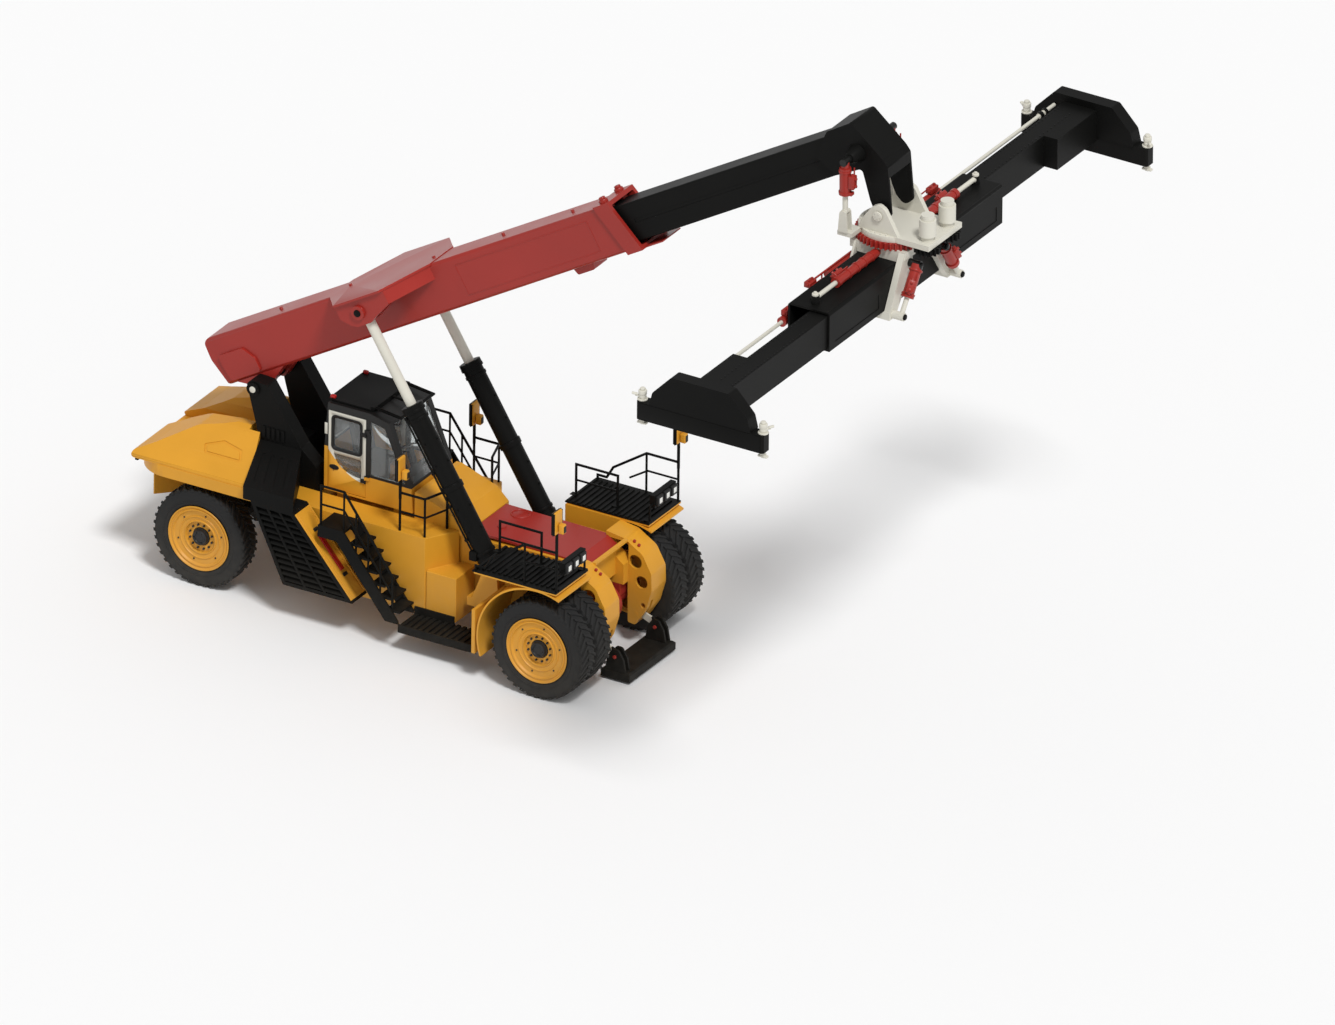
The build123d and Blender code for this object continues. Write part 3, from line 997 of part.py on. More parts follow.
# ---------------------------------------------------------------- spreader
# Main beam: an open-ended box with the telescopic beams side by side inside it.
main_beam = block(slew_x - beam_half_x, slew_x + beam_half_x, -beam_half_y, beam_half_y,
                  beam_low_z, beam_high_z)
main_beam = fillet(main_beam.edges().filter_by(Axis.Y).group_by(Axis.Z)[-1], 50)
main_beam -= block(slew_x - beam_half_x + beam_wall, slew_x + beam_half_x - beam_wall,
                   -beam_half_y - 5, beam_half_y + 5, beam_low_z + beam_wall, beam_high_z - beam_wall)
for hand in (-1, 1):
    main_beam += block(slew_x - beam_half_x + beam_wall, slew_x + beam_half_x - beam_wall,
                       hand * (beam_half_y - 250), hand * (beam_half_y - 10), beam_low_z + beam_wall - 1,
                       runner_low_z - seat_gap)
    anchor = (slew_x, hand * shift_anchor_y)
    main_beam += Pos(*anchor, beam_high_z - 2) * Cylinder(70, shift_z - beam_high_z + 50,
                                                          align=(Align.CENTER, Align.CENTER, Align.MIN))
    main_beam += bar((slew_x, hand * shift_anchor_y, shift_z),
                     (slew_x, hand * (shift_barrel[1] - shift_travel - 60), shift_z), shift_rod_r)
recess_depth = 8
for hand in (-1, 1):
    for face_x in (-1, 1):
        main_beam -= block(slew_x + face_x * (beam_half_x - recess_depth), slew_x + face_x * (beam_half_x + 1),
                           hand * 1150, hand * (beam_half_y - 180), beam_low_z + 110, beam_high_z - 330)
save("spreader_beam", main_beam)

# Telescoping cylinders along the rear face: (side, height, |y| of the barrel's mouth)
stretch = 3067          # from forty feet to twenty
reach_x = slew_x - beam_half_x - 135
reach_r, reach_rod_r = 70, 32
reach_rows = [(-1, 8450, 2670), (1, 8700, 2200)]
reach_barrels = []
for hand, z, mouth in reach_rows:
    tube = bar((reach_x, hand * mouth, z), (reach_x, hand * (mouth - 3450), z), reach_r)
    tube += bar((reach_x, hand * mouth, z), (reach_x, hand * (mouth - 120), z), reach_r + 14)
    tube -= bar((reach_x, hand * (mouth + 5), z), (reach_x, hand * (mouth - 3400), z),
                reach_rod_r + 2)
    for y in (hand * (mouth - 150), hand * (mouth - 750)):
        tube += block(reach_x - 60, slew_x - beam_half_x - seat_gap, y - 40, y + 40, z - 45, z + 45) - bar(
            (reach_x, y - 50, z), (reach_x, y + 50, z), reach_rod_r + 2)
    reach_barrels.append(tube)
save("telescope_cylinders", *reach_barrels)

# Telescopic beams, each welded to its end beam, with the rod of its cylinder.
runner_w = beam_half_x - beam_wall - 1.5 * runner_gap
end_shoulder = [(-end_half_x + 240, end_deck_z - 5), (-end_half_x + 300, 8560), (-543, end_top_z),
                (543, end_top_z), (end_half_x - 300, 8560), (end_half_x - 240, end_deck_z - 5)]
for hand, name in ((-1, "right"), (1, "left")):
    near_x = slew_x - hand * runner_gap / 2
    far_x = near_x - hand * runner_w
    plate_y = hand * (end_out_y - end_plate_t + 1)
    beam = block(near_x, far_x, hand * runner_inner_y, plate_y, runner_low_z, runner_high_z)
    beam -= block(near_x - hand * 25, far_x + hand * 25, hand * (runner_inner_y - 5),
                  hand * (end_out_y - end_plate_t - 200), runner_low_z + 25, runner_high_z - 25)
    beam += block(near_x - hand, slew_x + hand * 259, hand * 4630, plate_y, runner_low_z + 20,
                  runner_high_z)
    shoulders = side_prism([(slew_x + x, z) for x, z in end_shoulder],
                           hand * (end_out_y - end_plate_t), hand * end_out_y,
                           radius=[1, 120, 60, 60, 120, 1])
    crossbar = block(slew_x - end_half_x, slew_x + end_half_x, hand * (end_out_y - end_w),
                     hand * end_out_y, end_low_z, end_deck_z)
    crossbar = chamfer(crossbar.edges().filter_by(Axis.Z), 30)
    beam = beam + [shoulders, crossbar]
    row_hand, z, mouth = reach_rows[0] if hand < 0 else reach_rows[1]
    beam += bar((reach_x, hand * (mouth - 150), z), (reach_x, plate_y, z), reach_rod_r)
    if hand > 0:        # stop rings, which stay outside this side's shorter barrel
        for y_a, y_b in ((5350, 5430), (5500, 5560)):
            beam += bar((reach_x, y_a, z), (reach_x, y_b, z), 60)
    for x in (-lock_x, lock_x):
        beam -= Pos(slew_x + x, hand * lock_y, end_low_z) * Cylinder(lock_r - 12 + 2, 1400)
    save(f"telescopic_beam_{name}", beam)
    for x, end in ((-lock_x, "rear"), (lock_x, "front")):
        spot = Pos(slew_x + x, hand * lock_y, 0)
        shaft = spot * Pos(0, 0, end_low_z - 60) * Cylinder(lock_r - 12, end_deck_z - end_low_z + 190,
                                                            align=(Align.CENTER, Align.CENTER, Align.MIN))
        tip = spot * Pos(0, 0, end_low_z - lock_drop / 2 - 8) * loft([
            Plane.XY.offset(-lock_drop / 2 + 8) * Rectangle(50, 36), Plane.XY.offset(20) * Rectangle(104, 60)])
        nut = spot * Pos(0, 0, end_deck_z + seat_gap) * extrude(RegularPolygon(58, 6), 70)
        save(f"twistlock_{end}_{name}", Part() + [shaft, tip, nut])
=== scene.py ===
import bpy
from math import cos, sin, pi, radians
from mathutils import Vector, Matrix


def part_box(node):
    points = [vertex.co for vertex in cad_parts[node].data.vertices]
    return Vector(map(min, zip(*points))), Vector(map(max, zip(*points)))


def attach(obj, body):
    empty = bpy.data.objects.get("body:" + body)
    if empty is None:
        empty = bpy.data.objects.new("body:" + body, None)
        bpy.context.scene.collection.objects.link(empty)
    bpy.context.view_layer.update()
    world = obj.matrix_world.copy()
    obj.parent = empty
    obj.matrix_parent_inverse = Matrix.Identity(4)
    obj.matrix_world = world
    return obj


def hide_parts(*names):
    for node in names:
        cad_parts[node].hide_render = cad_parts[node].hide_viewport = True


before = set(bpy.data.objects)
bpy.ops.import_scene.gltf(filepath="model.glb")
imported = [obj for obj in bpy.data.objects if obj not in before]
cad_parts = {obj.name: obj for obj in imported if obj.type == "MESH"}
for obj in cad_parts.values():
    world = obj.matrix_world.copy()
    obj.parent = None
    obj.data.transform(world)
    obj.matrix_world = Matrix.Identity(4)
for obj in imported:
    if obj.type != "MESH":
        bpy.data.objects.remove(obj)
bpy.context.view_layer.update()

# ------------------------ floor
# A wide pale floor of smooth concrete under the machine, painted near white. It only catches
# the machine's soft shadow and is no part of it.


def feed(tree, node, inputs):
    """Fill a shader node's inputs by name or number: a socket is linked, any other value is set."""
    for key, value in inputs.items():
        if isinstance(value, bpy.types.NodeSocket):
            tree.links.new(value, node.inputs[key])
        else:
            node.inputs[key].default_value = value


def blank(name):
    """A new material with its node tree and its main shader."""
    material = bpy.data.materials.new(name)
    material.use_nodes = True
    return material, material.node_tree, material.node_tree.nodes["Principled BSDF"]


floor_side, floor_grey = 240, 0.86
bpy.ops.mesh.primitive_plane_add(size=floor_side, location=(0, 0, 0))
floor = bpy.context.object
floor.name = "floor"
floor_paint, tree, shader = blank("floor_paint")
feed(tree, shader, {"Base Color": (floor_grey, floor_grey, floor_grey, 1), "Roughness": 0.9})
floor.data.materials.append(floor_paint)

# ------------------------ light and camera
# Plain soft studio light: a bright sky all round and one broad sun from high on the near side.
# The camera looks down on the machine's right-hand front with no perspective.


def wired(tree, kind, inputs, **settings):
    """A new shader node with these settings and inputs."""
    node = tree.nodes.new("ShaderNode" + kind)
    for setting, value in settings.items():
        setattr(node, setting, value)
    feed(tree, node, inputs)
    return node


white, sky_light, backdrop_light = (1, 1, 1, 1), 0.55, 1.0
world = bpy.data.worlds.new("studio")
bpy.context.scene.world = world
world.use_nodes = True
tree = world.node_tree
sky = tree.nodes["Background"]
feed(tree, sky, {"Color": white, "Strength": sky_light})
backdrop = wired(tree, "Background", {"Color": white, "Strength": backdrop_light})
ray = wired(tree, "LightPath", {})
seen = wired(tree, "Math", {0: ray.outputs["Is Camera Ray"], 1: ray.outputs["Is Transmission Ray"]},
             operation='MAXIMUM')
switch = wired(tree, "MixShader", {0: seen.outputs[0], 1: sky.outputs[0], 2: backdrop.outputs[0]})
feed(tree, tree.nodes["World Output"], {"Surface": switch.outputs[0]})

sun_way, sun_spread = Vector((0.45, -0.35, 0.85)), radians(12)
bpy.ops.object.light_add(type='SUN', location=(0, -10, 20))
sun = bpy.context.object
sun.name = "sun"
sun.data.energy, sun.data.angle = 2.2, sun_spread
sun.rotation_euler = sun_way.to_track_quat('Z', 'Y').to_euler()

back = Vector((0.455, -0.767, 0.454)).normalized()       # from the machine to the camera
across = Vector((0.857, 0.514, 0.010))                   # to the right in the picture
across = (across - back * across.dot(back)).normalized()
up = back.cross(across)
target, stand_off, picture_width = Vector((3.0915, -1.899, 4.0)), 60, 21.43
camera_data = bpy.data.cameras.new("camera")
camera = bpy.data.objects.new("camera", camera_data)
bpy.context.scene.collection.objects.link(camera)
bpy.context.scene.camera = camera
camera_data.type = 'ORTHO'
camera_data.ortho_scale = picture_width
camera_data.clip_end = 400
camera.matrix_world = Matrix(((across.x, up.x, back.x, 0), (across.y, up.y, back.y, 0),
                              (across.z, up.z, back.z, 0), (0, 0, 0, 1)))
camera.location = target + back * stand_off
bpy.context.scene.view_settings.view_transform = 'Standard'

# ------------------------ chassis, counterweight and body
# Welded plate and castings sprayed in one coat of yellow: the frame beams, the counterweight,
# the side boxes, the hood, the nose arches and the fenders. The boom's red, the black of the
# platforms and the spreader, and the bone white of the rods and the rotator are sprayed alike.


def enamel(name, colour, rough=0.42, depth=0.06, dust=0.0, metal=0.0, scale=1.0, shine=0.4):
    """Sprayed paint: slight clouding, fine orange peel and a little dust low down."""
    material, tree, shader = blank(name)
    place = wired(tree, "TexCoord", {}).outputs["Object"]
    cloud = wired(tree, "TexNoise", {"Vector": place, "Scale": 0.9 * scale, "Detail": 6}).outputs["Fac"]
    tone = wired(tree, "ValToRGB", {"Fac": cloud})
    for element, position, share in zip(tone.color_ramp.elements, (0.3, 0.7), (1 - depth, 1 + depth)):
        element.position = position
        element.color = tuple(min(1, c * share) for c in colour) + (1,)
    paint = tone.outputs["Color"]
    if dust:
        dust_rgba, clean_above, thick_below = (0.33, 0.29, 0.23, 1), 1.5, 0.1
        height = wired(tree, "SeparateXYZ", {0: place}).outputs["Z"]
        low = wired(tree, "MapRange", {"Value": height, "From Min": clean_above, "From Max": thick_below,
                                       "To Max": dust})
        speck = wired(tree, "TexNoise", {"Vector": place, "Scale": 7, "Detail": 8})
        amount = wired(tree, "Math", {0: low.outputs[0], 1: speck.outputs["Fac"]}, operation='MULTIPLY')
        film = wired(tree, "Mix", {"Factor": amount.outputs[0], "A": paint, "B": dust_rgba},
                     data_type='RGBA')
        paint = film.outputs["Result"]
    gloss = wired(tree, "MapRange", {"Value": cloud, "To Min": rough - 0.06, "To Max": rough + 0.1})
    peel = wired(tree, "TexNoise", {"Vector": place, "Scale": 90})
    bump = wired(tree, "Bump", {"Height": peel.outputs["Fac"], "Strength": 0.12, "Distance": 0.003})
    feed(tree, shader, {"Base Color": paint, "Roughness": gloss.outputs[0], "Normal": bump.outputs[0],
                        "Metallic": metal, "Specular IOR Level": shine})
    return material


def coat(material, *names):
    """Give these CAD nodes one material."""
    for name in names:
        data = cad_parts[name].data
        data.materials.clear()
        data.materials.append(material)


yellow_rgb, bone_rgb = (0.66, 0.305, 0.022), (0.64, 0.62, 0.54)
yellow = enamel("yellow_enamel", yellow_rgb, dust=0.25, shine=0.3)
coat(yellow, "chassis_frame", "counterweight", "side_bodies", "hood", "nose_arches",
     "front_fenders")
red = enamel("red_enamel", (0.32, 0.023, 0.016), rough=0.31, dust=0.1, shine=0.34)
coat(red, "front_deck", "boom_outer", "ring_gear", "damper_barrel_right", "damper_barrel_left",
     "slope_cylinders", "shift_cylinders", "telescope_cylinders", "boom_pin", "front_axle")
black = enamel("black_enamel", (0.006, 0.006, 0.0056), rough=0.42, depth=0.15, dust=0.08, shine=0.07)
coat(black, "boom_inner", "boom_head", "boom_towers", "louvre_panels", "stairs", "running_boards",
     "fender_platforms", "platform_guards", "ledge_rails", "spreader_beam", "telescopic_beam_right",
     "telescopic_beam_left", "support_foot", "lift_barrel_right", "lift_barrel_left",
     "rear_axle", "knuckle_right", "knuckle_left", "pinion_right", "pinion_left")
bone = enamel("bone_enamel", bone_rgb, rough=0.36, depth=0.04)
coat(bone, "rotator_frame", "slew_motors", "saddle", "lift_rod_right", "lift_rod_left",
     "damper_rod_right", "damper_rod_left", "twistlock_front_right", "twistlock_front_left",
     "twistlock_rear_right", "twistlock_rear_left")


def soften(width, segments, least, *names):
    """Round the hard edges of these CAD nodes; the corners that the faces share are welded first."""
    for name in names:
        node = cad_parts[name]
        weld = node.modifiers.new("weld", 'WELD')
        weld.merge_threshold = 0.0001
        edges = node.modifiers.new("edges", 'BEVEL')
        edges.width, edges.segments = width, segments
        edges.limit_method, edges.angle_limit = 'ANGLE', radians(least)
        edges.harden_normals = True


soften(0.060, 4, 14, "counterweight")
soften(0.012, 2, 25, "side_bodies", "hood", "front_deck", "boom_outer", "boom_head", "boom_towers",
       "nose_arches", "spreader_beam", "support_foot", "rotator_frame", "saddle")

# ------------------------ tyres, rims and hubs
# Six wide cross-ply tyres of black rubber with slanted lugs in two staggered rows. Each sits on
# a pressed steel rim, sprayed yellow, that is bolted to a black planetary hub.


def face_outwards():
    """Turn every face of the mesh being edited outwards and leave edit mode."""
    bpy.ops.mesh.select_all(action='SELECT')
    bpy.ops.mesh.normals_make_consistent(inside=False)
    bpy.ops.object.mode_set(mode='OBJECT')


def spun(name, profile, steps, centre):
    """A ring turned from a profile of (y, radius) points round a cross axle through centre."""
    y, r = profile[0]
    bpy.ops.mesh.primitive_plane_add(size=0.001, location=(centre[0], centre[1] + y, centre[2] + r))
    ring = bpy.context.object
    ring.name = name
    bpy.ops.object.transform_apply()
    bpy.ops.object.mode_set(mode='EDIT')
    bpy.ops.mesh.select_mode(type='VERT')
    bpy.ops.mesh.select_all(action='SELECT')
    bpy.ops.mesh.merge(type='CENTER')
    for (y0, r0), (y1, r1) in zip(profile, profile[1:]):
        bpy.ops.mesh.extrude_region_move(TRANSFORM_OT_translate={"value": (0, y1 - y0, r1 - r0)})
    bpy.ops.mesh.select_all(action='SELECT')
    bpy.ops.mesh.spin(steps=steps, angle=2 * pi, center=centre, axis=(0, 1, 0))
    bpy.ops.mesh.select_all(action='SELECT')
    bpy.ops.mesh.remove_doubles(threshold=0.0005)
    face_outwards()
    bpy.ops.object.shade_smooth_by_angle(angle=radians(32))
    return ring


def finish(piece, body, material):
    """Paint a piece and set it on its body."""
    piece.data.materials.clear()
    piece.data.materials.append(material)
    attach(piece, body)
    bpy.ops.object.select_all(action='DESELECT')


def joined(name, pieces):
    """Several finished meshes as one."""
    bpy.ops.object.select_all(action='DESELECT')
    for piece in pieces:
        piece.select_set(True)
    bpy.context.view_layer.objects.active = pieces[0]
    bpy.ops.object.join()
    pieces[0].name = name
    bpy.ops.object.select_all(action='DESELECT')
    return pieces[0]


def bevelled(piece, width, segments, least=None):
    """Round the hard edges of a mesh for good, or those sharper than an angle in degrees."""
    edges = piece.modifiers.new("edge", 'BEVEL')
    edges.width, edges.segments, edges.limit_method = width, segments, 'ANGLE'
    if least:
        edges.angle_limit = radians(least)
    bpy.context.view_layer.objects.active = piece
    bpy.ops.object.modifier_apply(modifier="edge")


def circle(centre, reach, count, start, first, second):
    """Evenly spaced points round a centre, in the plane of two directions."""
    angles = [start + 2 * pi * index / count for index in range(count)]
    return [centre + first * (reach * cos(angle)) + second * (reach * sin(angle)) for angle in angles]


def middle_of(node):
    """The middle of a CAD node's box: x, y and z."""
    return [(low + high) / 2 for low, high in zip(*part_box(node))]


forwards, leftwards, upwards = Vector((1, 0, 0)), Vector((0, 1, 0)), Vector((0, 0, 1))
tyre_r, lug_h, lug_rows = 0.86, 0.030, 38
lug_slant, lug_top, lug_base = 0.155, 0.024, 0.034       # lean towards the shoulder and half widths
bpy.ops.mesh.primitive_cube_add(size=1, location=(0, 0, 0))
lug = bpy.context.object
lug.name = "lug"
for corner in lug.data.vertices:
    x, y, z = corner.co
    along = y + 0.5                       # 0 at the middle of the tread, 1 at the shoulder
    wide = lug_top if z > 0 else lug_base
    corner.co = (lug_slant * along + (wide if x > 0 else -wide),
                 -0.012 + along * (0.222 if z > 0 else 0.236),
                 (tyre_r - 0.008 * along) if z > 0 else tyre_r - lug_h - 0.03)
bpy.ops.object.mode_set(mode='EDIT')
bpy.ops.mesh.select_all(action='SELECT')
bpy.ops.mesh.subdivide(number_cuts=1)
bpy.ops.object.mode_set(mode='OBJECT')
for corner in lug.data.vertices:          # the chevron bends and the top follows the tyre's round
    x, y, z = corner.co
    if 0.05 < y < 0.16:
        corner.co.x -= 0.012
    if z > tyre_r - lug_h:
        corner.co.z = z - x * x / (2 * tyre_r)
bpy.ops.object.mode_set(mode='EDIT')
face_outwards()
bevelled(lug, 0.005, 1)

# (y, radius) points; the outer side of a wheel is at negative y
wall_profile = [(-0.190, 0.545), (-0.205, 0.575), (-0.216, 0.590), (-0.226, 0.625), (-0.233, 0.680),
                (-0.231, 0.740), (-0.226, 0.785), (-0.216, 0.812), (-0.196, 0.828), (-0.120, 0.832)]
tyre_profile = (wall_profile + [(0.0, 0.834)] + [(-y, r) for y, r in reversed(wall_profile)]
                + [(0.0, 0.530), wall_profile[0]])
bead_profile = [(-0.2295, 0.640), (-0.2365, 0.644), (-0.2365, 0.654), (-0.2290, 0.660)]
rim_profile = [(-0.190, 0.500), (-0.205, 0.548), (-0.222, 0.566), (-0.230, 0.560), (-0.228, 0.545),
               (-0.205, 0.530), (-0.200, 0.512), (-0.212, 0.500), (-0.212, 0.486), (-0.190, 0.474),
               (-0.178, 0.462), (-0.170, 0.380), (-0.182, 0.372), (-0.182, 0.362), (-0.168, 0.352),
               (-0.160, 0.300), (-0.174, 0.292), (-0.176, 0.280), (-0.150, 0.268), (-0.128, 0.262),
               (-0.128, 0.160), (-0.090, 0.150), (-0.090, 0.0)]
back_profile = [(0.190, 0.500), (0.205, 0.548), (0.222, 0.566), (0.230, 0.560), (0.228, 0.545),
                (0.200, 0.520), (-0.060, 0.505), (-0.075, 0.490), (-0.075, 0.0)]
hub_profile = [(-0.100, 0.150), (-0.146, 0.148), (-0.150, 0.138), (-0.195, 0.130), (-0.210, 0.112),
               (-0.210, 0.085), (-0.198, 0.078), (-0.198, 0.0)]
nut_rings = [  # nuts, reach from the axle, nut radius, nut depth, y of the face that carries them
    (12, 0.210, 0.019, 0.030, -0.126), (6, 0.098, 0.011, 0.02, -0.204)]
stud_count, stud_reach, stud_r, stud_y, stud_turn = 6, 0.415, 0.016, -0.174, 0.26
rubber = enamel("tyre_rubber", (0.0095, 0.0095, 0.0095), rough=0.78, depth=0.2, dust=0.12)
hub_black = enamel("hub_black", (0.012, 0.012, 0.012), rough=0.45, depth=0.1)
axle_x, _, axle_z = middle_of("front_wheels_right")
rear_x = middle_of("rear_wheel_right")[0]
tyres = [  # name, CAD node and body, axle x, middle y
    ("front_right_outer", "front_wheels_right", axle_x, -1.695),
    ("front_right_inner", "front_wheels_right", axle_x, -1.195),
    ("front_left_outer", "front_wheels_left", axle_x, 1.695),
    ("front_left_inner", "front_wheels_left", axle_x, 1.195),
    ("rear_right", "rear_wheel_right", rear_x, -1.165),
    ("rear_left", "rear_wheel_left", rear_x, 1.165)]
for name, node, x, y in tyres:
    middle = (x, 0, axle_z)
    hand = -1 if y < 0 else 1
    rings = [spun("tyre_" + name, tyre_profile, 96, middle), spun("bead_ring", bead_profile, 96, middle)]
    lugs = []
    for side in (-1, 1):
        for index in range(lug_rows):
            bar = lug.copy()
            bar.data = lug.data.copy()
            bpy.context.scene.collection.objects.link(bar)
            turn = Matrix.Rotation((index + 0.25 * (side + 1)) * 2 * pi / lug_rows, 4, 'Y')
            flip = Matrix.Diagonal((1, side, 1, 1))
            bar.data.transform(Matrix.Translation(middle) @ turn @ flip)
            if side < 0:
                bar.data.flip_normals()
            lugs.append(bar)
    tyre = joined("tyre_" + name, rings + lugs)
    rim = joined("rim_" + name, [spun("dish", rim_profile, 72, middle),
                                 spun("back", back_profile, 72, middle)])
    hub_parts = [spun("hub_" + name, hub_profile, 48, middle)]
    for count, reach, size, depth, face in nut_rings:
        centre = Vector((x, face - depth / 2, axle_z))
        for at in circle(centre, reach, count, pi / count, upwards, forwards):
            bpy.ops.mesh.primitive_cylinder_add(vertices=6, radius=size, depth=depth, location=at,
                                                rotation=(pi / 2, 0, 0))
            bpy.ops.object.transform_apply()
            hub_parts.append(bpy.context.object)
    for at in circle(Vector((x, stud_y, axle_z)), stud_reach, stud_count, stud_turn, upwards, forwards):
        bpy.ops.mesh.primitive_uv_sphere_add(segments=12, ring_count=6, radius=stud_r, location=at)
        bpy.ops.object.transform_apply()
        hub_parts.append(bpy.context.object)
    hub = joined("hub_" + name, hub_parts)
    for piece in (tyre, rim, hub):        # drawn for the right-hand side, turned over for the left
        piece.data.transform(Matrix.Translation((0, y, 0)) @ Matrix.Diagonal((1, -hand, 1, 1)))
        if hand > 0:
            piece.data.flip_normals()
    finish(tyre, node, rubber)
    finish(rim, node, yellow)
    finish(hub, node, hub_black)
    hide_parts(node)
bpy.data.objects.remove(lug)

# ------------------------ cab skin and doors
# A pressed steel cab. Its yellow skin sweeps up behind the doors, black posts stand above it,
# and each door's upper half is bone white round two dark panes in black rubber.


def overlay(tree, mask, colour):
    """Cover a material's paint with another colour where the mask is 1."""
    shader = tree.nodes["Principled BSDF"]
    under = shader.inputs["Base Color"].links[0].from_socket
    choice = wired(tree, "Mix", {"Factor": mask, "A": under, "B": colour + (1,)}, data_type='RGBA')
    feed(tree, shader, {"Base Color": choice.outputs["Result"]})


def two_tone(name, lower, upper, base, rise, front, rear, rough=0.42):
    """Paint with a lower and an upper colour; their border sweeps up from front to rear."""
    material = enamel(name, lower, rough=rough)
    tree = material.node_tree
    place = wired(tree, "TexCoord", {})
    axes = wired(tree, "SeparateXYZ", {0: place.outputs["Object"]})
    share = wired(tree, "MapRange", {"Value": axes.outputs["X"], "From Min": front, "From Max": rear})
    curve = wired(tree, "Math", {0: share.outputs[0], 1: 2}, operation='POWER')
    border = wired(tree, "Math", {0: curve.outputs[0], 1: rise, 2: base}, operation='MULTIPLY_ADD')
    over = wired(tree, "Math", {0: axes.outputs["Z"], 1: border.outputs[0]}, operation='GREATER_THAN')
    overlay(tree, over.outputs[0], upper)
    return material


def rounded_box(name, low, high, edge, segments=3, axis=None):
    """A box between two corners with rounded edges, or only those along one axis."""
    low, high = Vector(low), Vector(high)
    bpy.ops.mesh.primitive_cube_add(size=1, location=(low + high) / 2)
    box = bpy.context.object
    box.name = name
    box.scale = high - low
    bpy.ops.object.transform_apply()
    bpy.ops.object.mode_set(mode='EDIT')
    bpy.ops.mesh.select_mode(type='EDGE')
    bpy.ops.mesh.select_all(action='SELECT')
    if axis is not None:
        bpy.ops.mesh.select_all(action='DESELECT')
        bpy.ops.object.mode_set(mode='OBJECT')
        for line in box.data.edges:
            a, b = (box.data.vertices[i].co for i in line.vertices)
            line.select = abs((b - a)[axis]) > 1e-6
        bpy.ops.object.mode_set(mode='EDIT')
    bpy.ops.mesh.bevel(offset=edge, segments=segments, affect='EDGES')
    face_outwards()
    bpy.ops.object.shade_smooth_by_angle(angle=radians(35))
    return box


def slab(name, at, depths, half_wide, heights, edge, segments=3):
    """A rounded box set by a point: from one x to another, as wide either way, and between heights."""
    return rounded_box(name, (at[0] + depths[0], at[1] - half_wide, at[2] + heights[0]),
                       (at[0] + depths[1], at[1] + half_wide, at[2] + heights[1]), edge, segments)


def cut(piece, cutter, operation='DIFFERENCE'):
    """Take a cutter's volume out of a piece, or keep only what both fill."""
    step = piece.modifiers.new("cut", 'BOOLEAN')
    step.operation, step.object, step.solver = operation, cutter, 'EXACT'
    bpy.context.view_layer.objects.active = piece
    bpy.ops.object.modifier_apply(modifier=step.name)
    bpy.data.objects.remove(cutter)
    return piece


def copied(piece):
    """A second object with its own mesh."""
    twin = piece.copy()
    twin.data = piece.data.copy()
    bpy.context.scene.collection.objects.link(twin)
    return twin


hands = ((-1, "right"), (1, "left"))
black_rgb = (0.007, 0.007, 0.0065)
door_low, door_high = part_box("cab_door_right")
door_long, door_face, door_wall = 0.700, 0.640, 0.045
door_rear, door_front = door_low.x, door_low.x + door_long
door_foot, door_top = door_low.z, door_high.z
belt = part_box("cab_glass")[0].z - 0.035
door_belt, cab_sweep, door_sweep = door_foot + 0.245, 0.36, 0.46       # where the colours meet
cab_paint = two_tone("cab_paint", yellow_rgb, black_rgb, belt, cab_sweep, door_front, door_rear)
coat(cab_paint, "cab_shell")
door_paint = two_tone("door_paint", yellow_rgb, bone_rgb, door_belt, door_sweep, door_front, door_rear)
rubber_seal = enamel("seal_rubber", (0.008, 0.008, 0.008), rough=0.6, depth=0.1)
dark_glass, tree, shader = blank("dark_glass")
feed(tree, shader, {"Base Color": (0.80, 0.83, 0.83, 1), "Roughness": 0.03, "IOR": 1.45,
                    "Transmission Weight": 0.92})
coat(dark_glass, "cab_glass")

